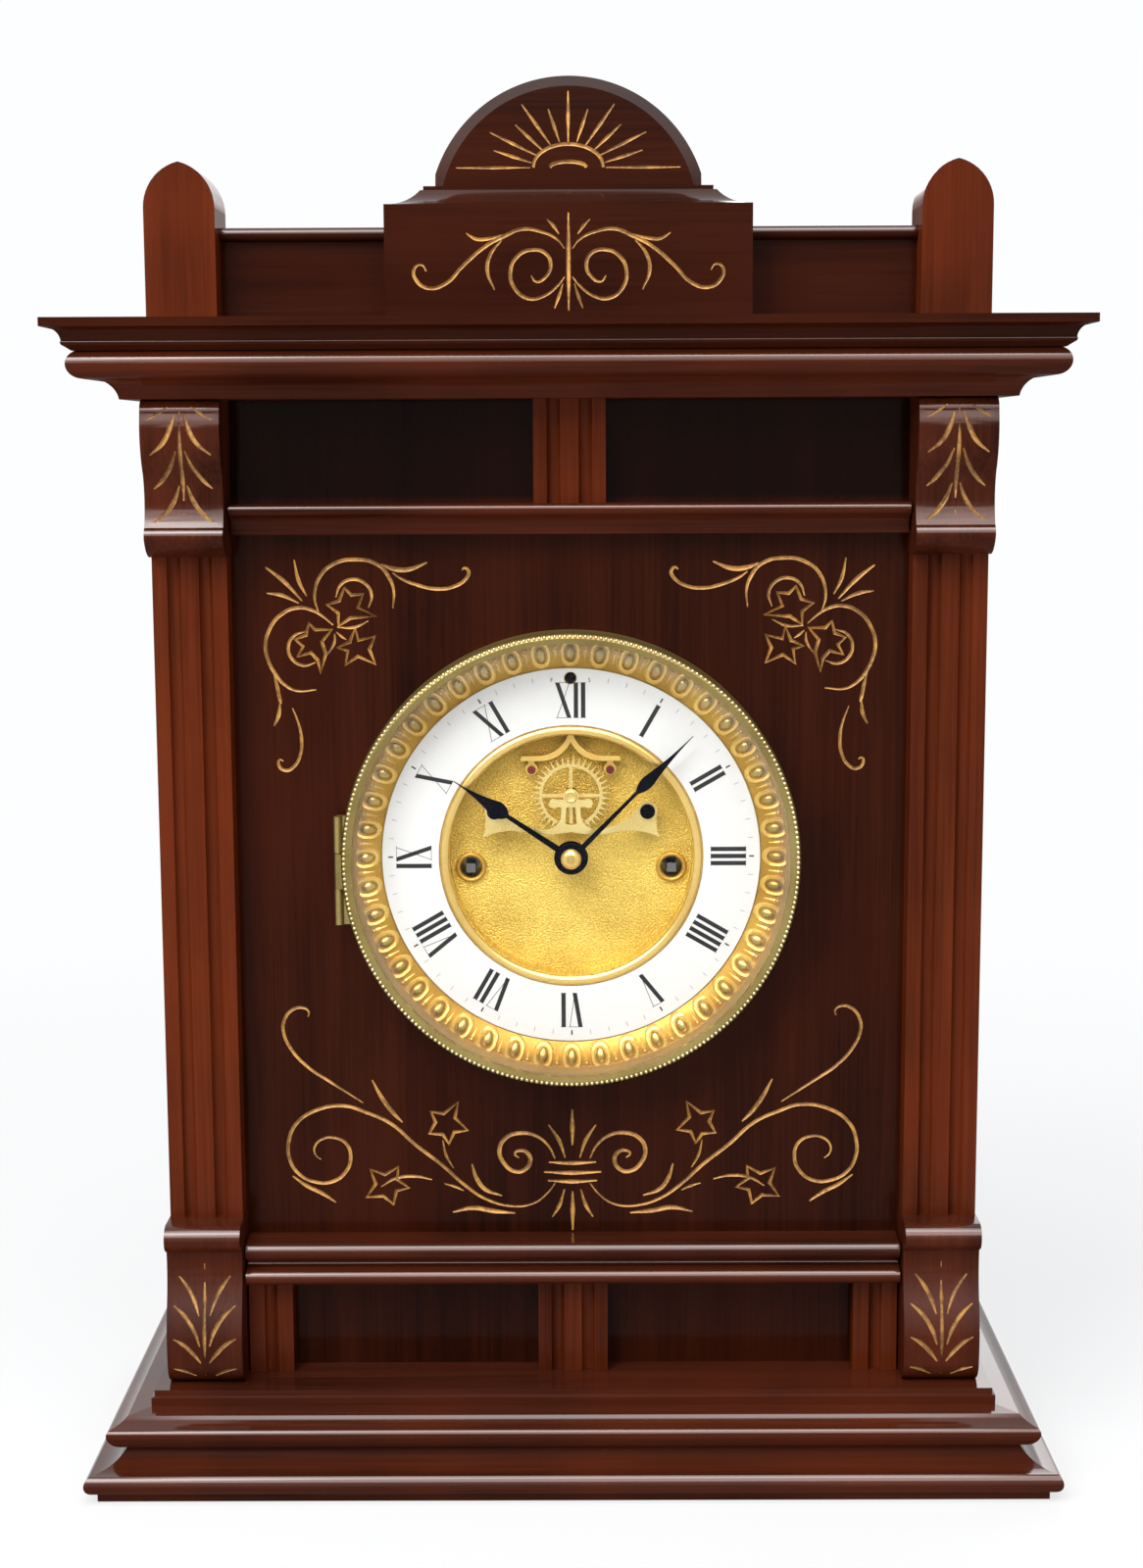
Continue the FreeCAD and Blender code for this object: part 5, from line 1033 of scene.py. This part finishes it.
@dataclass(frozen=True)
class Crest:
    """Crest block with facing scrolls and the arch with its rising sun, in mm."""

    block_proud: float = 16.0
    arch_proud: float = 3.0
    block: tuple[Stroke, ...] = (
        Stroke(((-12.4, 416.1), (-10.8, 414.1), (-7.9, 415.3), (-5.9, 419.3), (-7.5, 423.2),
                (-12.4, 424.4), (-16.8, 422.4), (-19.2, 417.7), (-18.0, 412.1), (-13.2, 408.6),
                (-8.3, 409.4), (-3.5, 412.9), (-1.3, 415.7)), 0.7),
        Stroke(((-1.3, 424.8), (-3.5, 427.6), (-9.1, 430.3), (-15.6, 431.1), (-21.3, 428.8),
                (-26.9, 426.0), (-35.0, 419.3), (-40.6, 413.7), (-46.3, 412.1), (-50.3, 414.5),
                (-51.1, 418.5), (-48.7, 419.7), (-47.1, 417.7)), 0.7),
        Stroke(((-21.3, 429.4), (-26.9, 428.0), (-30.5, 428.0), (-33.8, 429.9)), 0.65),
        Stroke(((-22.1, 427.6), (-25.7, 423.2), (-26.9, 417.7), (-24.5, 411.4)), 0.7),
        Stroke(((-7.1, 434.3), (-5.0, 432.2), (-3.1, 429.5)), 0.65),
        Stroke(((-1.9, 413.5), (-3.2, 409.4), (-4.7, 405.4)), 0.65),
        Stroke(((0.0, 436.5), (0.0, 426.0), (0.0, 415.0), (0.0, 404.6)), 0.7, mirror=False),
    )
    sun_z: float = 452.4
    sun: Point = (11.8, 7.6)
    sun_width: float = 0.7
    lens: Point = (6.1, 1.9)
    lens_width: float = 0.75
    bow_steps: int = 8
    bow_taper: float = 0.8
    horizon: tuple[float, ...] = (-37.6, -25.0, -12.7)
    horizon_width: float = 0.6
    ray_width: float = 0.65
    rays: tuple[tuple[Point, Point], ...] = (
        ((0.0, 477.3), (0.0, 460.7)), ((-6.6, 471.4), (-2.9, 460.7)), ((-15.5, 473.0), (-5.8, 459.6)),
        ((-17.6, 466.3), (-8.6, 458.0)), ((-26.1, 463.9), (-10.7, 456.4)), ((-24.9, 458.0), (-12.3, 454.0)),
    )

    def build(self, frame: dict[str, Any], finishes: Finishes) -> list[bpy.types.Object]:
        """Carves copies of the crest block and the arch.

        Args:
            frame: The loaded frame.
            finishes: The clock's finishes.
        Returns:
            The new pieces.
        """
        carver = Carver(finishes["gilt_cut"])
        block = Bench.copy_node(frame["nodes"]["crest_block"], "carved_crest")
        carver.carve(block, self.block, lambda x, z: PANEL_Y - self.block_proud)
        arch = Bench.copy_node(frame["nodes"]["crest_arch"], "carved_arch")
        carver.carve(arch, self.sunburst(), lambda x, z: PANEL_Y - self.arch_proud)
        return [Bench.fit(block, "case", "mahogany", "crest_block"),
                Bench.fit(arch, "case", "mahogany", "crest_arch")]

    def sunburst(self) -> list[Stroke]:
        """Draws the rising sun on the arch.

        Returns:
            Its strokes.
        """
        strokes = [self.bow(self.sun, self.sun_width), self.bow(self.lens, self.lens_width)]
        strokes.append(Stroke(tuple((x, self.sun_z) for x in self.horizon), self.horizon_width))
        for outer, inner in self.rays:
            middle = ((outer[0] + inner[0]) / 2, (outer[1] + inner[1]) / 2)
            strokes.append(Stroke((outer, middle, inner), self.ray_width, mirror=outer[0] < 0))
        return strokes

    def bow(self, size: Point, width: float) -> Stroke:
        """Draws half an ellipse over the sun's base line.

        Args:
            size: Half its width, and its height.
            width: Half width of the cut.
        Returns:
            The Stroke.
        """
        turns = [math.pi * i / self.bow_steps for i in range(self.bow_steps + 1)]
        points = tuple((size[0] * math.cos(t), self.sun_z + size[1] * math.sin(t)) for t in turns)
        return Stroke(points, width, taper=self.bow_taper, mirror=False)


@dataclass(frozen=True)
class Numerals:
    """Radial Roman numerals, minute ticks and regulator letters on the enamel, in mm."""

    HOURS = ("XII", "I", "II", "III", "IIII", "V", "VI", "VII", "VIII", "IX", "X", "XI")
    WIDE = {"I": 1.0, "V": 2.3, "X": 2.5}
    CORNERS = {(-1, -1): 0, (1, -1): 1, (1, 1): 2, (-1, 1): 3}
    HOUR_TURN = 30.0
    MINUTE_TURN = 6.0
    face: float = -3.2
    ink_t: float = 0.06
    ink_sunk: float = 0.02
    numeral_in: float = 48.6
    numeral_out: float = 60.9
    tick_in: float = 62.0
    tick_out: float = 63.7
    hour_tick: float = 0.5
    minute_tick: float = 0.2
    thick: float = 1.5
    thin: float = 0.2
    gap: float = 2.5
    serif: float = 0.16
    margin: float = 0.55
    bar_half: float = 1.0
    lean: float = 0.2
    thick_in: float = 0.5
    thin_in: float = 0.4
    mark_turn: float = 6.0
    mark_reach: float = 62.0
    mark_size: float = 2.0

    def build(self, frame: dict[str, Any], finishes: Finishes) -> list[bpy.types.Object]:
        """Prints the dial.

        Args:
            frame: The loaded frame, which the print doesn't change; not used.
            finishes: The clock's finishes.
        Returns:
            The new pieces.
        """
        bars = []
        for hour, text in enumerate(self.HOURS):
            bars += self.numeral(text, hour * self.HOUR_TURN)
        bars += self.ticks(range(5, 60, 5), self.hour_tick)
        printed = [Bench.settle(Bench.join(bars), "numerals", finishes["ink"])]
        bars = self.ticks([m for m in range(2, 59) if m % 5], self.minute_tick)
        printed.append(Bench.settle(Bench.join(bars), "minute_ticks", finishes["faint_ink"]))
        bars = [self.letter("F", -self.mark_turn), self.letter("S", self.mark_turn)]
        printed.append(Bench.settle(Bench.join(bars), "regulator_marks", finishes["ink"]))
        return [Bench.fit(piece, "case", "enamel") for piece in printed]

    def letter(self, letter: str, turn: float) -> bpy.types.Object:
        """Makes one tiny letter beside the regulating hole.

        Args:
            letter: The letter.
            turn: Its clockwise turn in degrees.
        Returns:
            The letter as a mesh object.
        """
        Bench.clear()
        angle = math.radians(turn)
        spot = (self.mark_reach * math.sin(angle), PANEL_Y + self.face,
                DIAL_Z + self.mark_reach * math.cos(angle))
        bpy.ops.object.text_add(location=[v * MM for v in spot], rotation=(FLAT, 0, 0))
        text = bpy.context.object
        text.data.body = letter
        text.data.size = self.mark_size * MM
        text.data.align_x = "CENTER"
        text.data.align_y = "CENTER"
        text.data.extrude = self.ink_t * MM
        bpy.ops.object.convert(target="MESH")
        bpy.ops.object.transform_apply(location=True, rotation=True, scale=True)
        return bpy.context.object

    def slant(self, low: Point, high: Point, width: float) -> bpy.types.Object:
        """Makes one inked bar at the top of the dial.

        Args:
            low: Inner end, across and outward from the dial's middle.
            high: Outer end.
            width: Width of the bar.
        Returns:
            The bar.
        """
        h = width / 2
        corners = ((low[0] - h, low[1]), (low[0] + h, low[1]),
                   (high[0] + h, high[1]), (high[0] - h, high[1]))
        Bench.clear()
        bpy.ops.mesh.primitive_cube_add(size=2, location=(0, 0, 0))
        bar = bpy.context.object
        for vertex in bar.data.vertices:
            x, z = corners[self.CORNERS[(round(vertex.co.x), round(vertex.co.z))]]
            proud = self.ink_t if vertex.co.y < 0 else -self.ink_sunk
            vertex.co = Vector((x, PANEL_Y + self.face - proud, DIAL_Z + z)) * MM
        return bar

    def numeral(self, text: str, turn: float) -> list[bpy.types.Object]:
        """Makes one numeral, its foot towards the middle of the dial.

        Args:
            text: Letters of the numeral.
            turn: Its clockwise turn in degrees.
        Returns:
            Its bars.
        """
        foot, head = self.numeral_in, self.numeral_out
        widths = [self.gap * self.WIDE[letter] for letter in text]
        at = -sum(widths) / 2
        bars = []
        for letter, width in zip(text, widths):
            mid = at + width / 2
            half = width / 2 - self.margin
            if letter == "I":
                bars.append(self.slant((mid, foot), (mid, head), self.thick))
                half = self.bar_half
            else:
                thick_foot = mid + (self.lean if letter == "V" else half - self.thick_in)
                thin_foot = mid + (self.lean if letter == "V" else self.thin_in - half)
                bars.append(self.slant((thick_foot, foot), (mid - half + self.thick_in, head), self.thick))
                bars.append(self.slant((thin_foot, foot), (mid + half - self.thin_in, head), self.thin))
            bars.append(self.slant((mid, head - self.serif), (mid, head), 2 * half))
            if letter != "V":
                bars.append(self.slant((mid, foot), (mid, foot + self.serif), 2 * half))
            at += width
        for bar in bars:
            bar.data.transform(Bench.about_dial(turn))
        return bars

    def ticks(self, minutes: Iterable[int], width: float) -> list[bpy.types.Object]:
        """Makes one minute tick and copies it round the dial.

        Args:
            minutes: Minutes to mark.
            width: Width of each tick in mm.
        Returns:
            The ticks.
        """
        tick = self.slant((0, self.tick_in), (0, self.tick_out), width)
        return Bench.ring(tick, [minute * self.MINUTE_TURN for minute in minutes])


@dataclass(frozen=True)
class DialRings:
    """Egg-and-dart band, beads of the bezel, rims of the winding holes and a bush, in mm."""

    egg_count: int = 44
    band_in: Point = (66.2, -2.8)
    band_mid: Point = (69.6, -4.8)
    band_out: Point = (74.4, -5.6)
    band_edge_in: float = 0.5
    band_edge_out: float = 0.2
    band_crease: float = 40
    pressed_from: float = 0.1
    pressed_to: float = 0.02
    egg_reach: float = 71.2
    egg: tuple[float, float, float] = (1.75, 1.15, 2.75)
    cup_reach: float = 70.7
    cup_wide: float = 3.0
    cup_long: float = 3.5
    cup_wire: float = 0.8
    cup_open: float = 1.3
    dart_r: float = 0.62
    dart_tip: float = 0.2
    dart_long: float = 3.8
    drop_r: float = 0.62
    drop_reach: float = 73.5
    ornament_crease: float = 50
    bead_count: int = 280
    bead_reach: float = 77.9
    bead_r: float = 0.72
    bead_face: float = -16.9
    rim_x: float = 35.2
    rim_drop: float = 5.0
    rim_depth: float = 4.2
    rim_r: float = 4.55
    rim_wire: float = 0.85
    bush_rise: float = 21.0
    bush_r: float = 1.7
    bush_wire: float = 0.55
    seat_share: float = 0.6
    round_crease: float = 60

    def build(self, frame: dict[str, Any], finishes: Finishes) -> list[bpy.types.Object]:
        """Makes all the ornament round the dial.

        Args:
            frame: The loaded frame.
            finishes: The clock's finishes.
        Returns:
            The new pieces.
        """
        cups, eggs = self.ornament()
        front = min(v.co.y for v in frame["nodes"]["escape_bridge"].data.vertices) / MM
        bush = self.hoop(self.bush_r, self.bush_wire, (0, front, DIAL_Z + self.bush_rise), (36, 8))
        rows = (
            ("egg_cups", cups, "gilt_brass", "case", self.ornament_crease),
            ("eggs", eggs, "egg_brass", "case", self.ornament_crease),
            ("bezel_beads", self.beads(), "bead_brass", "bezel_frame", self.round_crease),
            ("eyelet_rims", self.rims(), "dull_gilt", "case", self.round_crease),
            ("pivot_bush", [bush], "polished_brass", "case", self.round_crease),
        )
        pieces = [self.band(frame, finishes)]
        for name, parts, finish, body, crease in rows:
            piece = Bench.settle(Bench.join(parts), name, finishes[finish])
            Bench.smooth(piece, crease)
            pieces.append(Bench.fit(piece, body, "brass"))
        return pieces

    def surface(self, reach: float) -> float:
        """Depth of the plain egg band, a curve through its three drawn points.

        Args:
            reach: Distance from the middle of the dial in mm.
        Returns:
            Depth from the panel face in mm.
        """
        (a, d), (b, e), (c, f) = self.band_in, self.band_mid, self.band_out
        first = (e - d) / (b - a)
        bend = ((f - e) / (c - b) - first) / (c - a)
        return d + first * (reach - a) + bend * (reach - a) * (reach - b)

    def place(self, piece: bpy.types.Object, reach: float, depth: float) -> None:
        """Moves a piece that was made at the origin to the top of the dial.

        Args:
            piece: The object.
            reach: Distance from the middle of the dial in mm.
            depth: Depth from the panel face in mm.
        """
        piece.data.transform(Matrix.Translation(Vector((0, PANEL_Y + depth, DIAL_Z + reach)) * MM))

    def drape(self, piece: bpy.types.Object, reach: float) -> bpy.types.Object:
        """Lays a piece made round the origin, outward along Z, on the top of the egg band.

        Args:
            piece: The object, proud side towards -Y.
            reach: Distance of its middle from the middle of the dial in mm.
        Returns:
            The object.
        """
        for vertex in piece.data.vertices:
            vertex.co.y += self.surface(min(reach + vertex.co.z / MM, self.band_out[0])) * MM
        self.place(piece, reach, 0)
        return piece

    def band(self, frame: dict[str, Any], finishes: Finishes) -> bpy.types.Object:
        """Makes the band itself, with the CAD eggs pressed nearly flat to take the finer ones.

        Args:
            frame: The loaded frame.
            finishes: The clock's finishes.
        Returns:
            The band.
        """
        piece = Bench.copy_node(frame["nodes"]["egg_ring"], "egg_band")
        low, high = self.band_in[0] + self.band_edge_in, self.band_out[0] - self.band_edge_out
        for vertex in piece.data.vertices:
            reach = math.hypot(vertex.co.x, vertex.co.z - DIAL_Z * MM) / MM
            proud = self.surface(reach) - (vertex.co.y / MM - PANEL_Y)
            if low < reach < high and proud > self.pressed_from:
                vertex.co.y = (PANEL_Y + self.surface(reach) - self.pressed_to * proud) * MM
        Bench.settle(piece, "egg_band", finishes["dull_gilt"])
        Bench.smooth(piece, self.band_crease)
        return Bench.fit(piece, "case", "brass", "egg_ring")

    def ornament(self) -> tuple[list[bpy.types.Object], list[bpy.types.Object]]:
        """Makes one cup, egg, dart and drop, and copies them round the band.

        Returns:
            The cups with darts and drops, and the eggs.
        """
        step = 360 / self.egg_count
        on_egg = [i * step for i in range(self.egg_count)]
        between = [(i + 0.5) * step for i in range(self.egg_count)]
        cup = self.hoop(self.cup_wide, self.cup_wire, (0, 0, 0), (14, 5), seated=False)
        for vertex in cup.data.vertices:
            opened = self.cup_open * MM if vertex.co.z > 0 else 0
            vertex.co.z = vertex.co.z * self.cup_long / self.cup_wide + opened
        cups = Bench.ring(self.drape(cup, self.cup_reach), on_egg)
        bpy.ops.mesh.primitive_uv_sphere_add(segments=12, ring_count=8, radius=1.0)
        egg = bpy.context.object
        egg.data.transform(Matrix.Diagonal([size * MM for size in self.egg] + [1]))
        eggs = Bench.ring(self.drape(egg, self.egg_reach), on_egg)
        bpy.ops.mesh.primitive_cone_add(vertices=5, radius1=self.dart_r * MM,
                                        radius2=self.dart_r * self.dart_tip * MM, depth=self.dart_long * MM)
        dart = bpy.context.object
        dart.data.transform(Matrix.Rotation(math.pi, 4, "X"))
        cups += Bench.ring(self.drape(dart, self.cup_reach), between)
        bpy.ops.mesh.primitive_uv_sphere_add(segments=8, ring_count=5, radius=self.drop_r * MM)
        cups += Bench.ring(self.drape(bpy.context.object, self.drop_reach), between)
        return cups, eggs

    def beads(self) -> list[bpy.types.Object]:
        """Makes one bead with a flat back and copies it round the bezel's front edge.

        Returns:
            The beads.
        """
        Bench.clear()
        bpy.ops.mesh.primitive_uv_sphere_add(segments=8, ring_count=5, radius=self.bead_r * MM)
        bead = bpy.context.object
        Bench.flat_back(bead, self.seat_share * self.bead_r * MM)
        self.place(bead, self.bead_reach, self.bead_face)
        return Bench.ring(bead, [i * 360 / self.bead_count for i in range(self.bead_count)])

    def rims(self) -> list[bpy.types.Object]:
        """Makes a rim round each winding hole.

        Returns:
            The two rims.
        """
        y, z = PANEL_Y + self.rim_depth, DIAL_Z - self.rim_drop
        return [self.hoop(self.rim_r, self.rim_wire, (x, y, z), (48, 10)) for x in (-self.rim_x, self.rim_x)]

    def hoop(self, radius: float, wire: float, spot: tuple, facets: tuple[int, int],
             seated: bool = True) -> bpy.types.Object:
        """Makes an upright ring of round wire, facing the front.

        Args:
            radius: Radius of the ring in mm.
            wire: Radius of its wire.
            spot: Its middle in mm.
            facets: Facets round the ring and round the wire.
            seated: Whether its back is pressed flat.
        Returns:
            The ring, with its place in its mesh.
        """
        Bench.clear()
        bpy.ops.mesh.primitive_torus_add(major_radius=radius * MM, minor_radius=wire * MM,
                                         major_segments=facets[0], minor_segments=facets[1],
                                         rotation=(FLAT, 0, 0), location=[v * MM for v in spot])
        ring = bpy.context.object
        bpy.ops.object.transform_apply(location=True, rotation=True, scale=True)
        if seated:
            Bench.flat_back(ring, (spot[1] + self.seat_share * wire) * MM)
        return ring


@dataclass(frozen=True)
class Camera:
    """Camera that matches the photograph's view."""

    place: tuple[float, float, float] = (0.0029, -0.8408, 0.3602)
    pitch: float = 8.121
    yaw: float = 0.187
    roll: float = -0.241
    lens: float = 54.43
    sensor: float = 36.0
    nearest: float = 0.01

    def build(self) -> None:
        """Makes the camera and looks through it."""
        data = bpy.data.cameras.new("camera")
        data.sensor_fit = "VERTICAL"
        data.sensor_height = self.sensor
        data.lens = self.lens
        data.clip_start = self.nearest
        eye = bpy.data.objects.new("camera", data)
        turn = Matrix.Rotation(math.radians(self.yaw), 4, "Z")
        tilt = Matrix.Rotation(math.radians(90 - self.pitch), 4, "X")
        lean = Matrix.Rotation(math.radians(self.roll), 4, "Z")
        eye.matrix_world = Matrix.Translation(self.place) @ turn @ tilt @ lean
        bpy.context.scene.collection.objects.link(eye)
        bpy.context.scene.camera = eye


@dataclass(frozen=True)
class Lamp:
    """One soft square lamp: metres and watts."""

    name: str
    place: tuple[float, float, float]
    target: tuple[float, float, float]
    size: float
    power: float
    colour: tuple[float, float, float] = (1.0, 1.0, 1.0)
    diffuse: bool = True
    glossy: bool = True

    def build(self) -> None:
        """Hangs the lamp and points it."""
        data = bpy.data.lights.new(self.name, "AREA")
        data.energy = self.power
        data.size = self.size
        data.color = self.colour
        lamp = bpy.data.objects.new(self.name, data)
        lamp.location = self.place
        aim = Vector(self.target) - Vector(self.place)
        lamp.rotation_euler = aim.to_track_quat("-Z", "Y").to_euler()
        lamp.visible_diffuse = self.diffuse
        lamp.visible_glossy = self.glossy
        bpy.context.scene.collection.objects.link(lamp)


@dataclass(frozen=True)
class Studio:
    """Camera, floor, lamps and pale surroundings."""

    camera: Camera = Camera()
    lamps: tuple[Lamp, ...] = (
        Lamp("key", (-0.7, -0.95, 1.15), (0, 0, 0.25), 0.8, 17.5),
        Lamp("fill", (0.7, -1.4, 0.5), (0, 0, 0.2), 1.2, 3.0, glossy=False),
        Lamp("top", (0.0, -0.5, 1.3), (0, 0, 0.1), 0.75, 10.0),
        Lamp("sheen", (0.0, -1.1, 1.2), (0, 0, 0.2), 1.3, 31.0, (1.0, 0.78, 0.72), diffuse=False),
        Lamp("back", (0.5, 1.4, 0.9), (0, 0, 0.2), 1.0, 9.0),
    )
    white: Colour = (0.985, 0.99, 1.0, 1)
    world_light: float = 0.2
    floor_size: float = 8.0
    floor_cool: Colour = (0.87, 0.87, 0.88, 1)
    floor_pale: Colour = (0.9, 0.9, 0.9, 1)
    floor_cloud: float = 3.0
    floor_detail: float = 2.0
    floor_rough: float = 0.8
    floor_shine: float = 0.05
    shadow_span: Point = (0.3, 0.9)
    shadow_white: float = 0.72

    def build(self) -> None:
        """Sets up the studio."""
        self.camera.build()
        self.floor()
        self.world()
        for lamp in self.lamps:
            lamp.build()

    def floor(self) -> None:
        """Makes the pale floor, white to the camera except in the clock's shadow."""
        Bench.clear()
        bpy.ops.mesh.primitive_plane_add(size=self.floor_size, location=(0, 0, 0))
        floor = bpy.context.object
        net = Net(bpy.data.materials.new("floor"))
        tone = net.noise(self.floor_cloud, self.floor_detail)
        net.set({"Base Color": net.mix(tone, self.floor_cool, self.floor_pale),
                 "Roughness": self.floor_rough, "Specular IOR Level": self.floor_shine})
        away = net.steps(net.length(net.spot()), self.shadow_span)
        share = net.seen() * (self.shadow_white + (1 - self.shadow_white) * away)
        glow = net.node("ShaderNodeEmission", {"Color": self.white, "Strength": 1.0})
        plain = Wire(net, net.shader.outputs[0])
        mixed = net.node("ShaderNodeMixShader", {0: share, 1: plain, 2: glow})
        net.link(mixed, net.tree.nodes["Material Output"].inputs["Surface"])
        floor.name = "floor"
        floor.data.materials.append(net.owner)

    def world(self) -> None:
        """Makes the surroundings: white where seen, plain light elsewhere."""
        net = Net(bpy.data.worlds.new("studio"), "Background")
        bpy.context.scene.world = net.owner
        strength = self.world_light + (1 - self.world_light) * net.seen()
        net.set({"Color": self.white, "Strength": strength})


def main() -> None:
    """Builds the whole scene in order and reports each piece."""
    logging.basicConfig(level=logging.INFO, format="%(name)s: %(message)s")
    for thing in list(bpy.data.objects):
        bpy.data.objects.remove(thing)
    bpy.context.scene.view_settings.view_transform = "Standard"
    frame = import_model()
    finishes = Finishes()
    finishes.dress(frame["nodes"])
    LOG.info("finishes on %d CAD nodes", len(frame["nodes"]))
    for maker in (FrontPanel(), Brackets(), Crest(), Numerals(), DialRings()):
        for piece in maker.build(frame, finishes):
            LOG.info("built %s", piece.name)
    Studio().build()
    LOG.info("studio ready")


if __name__ == "__main__":
    main()
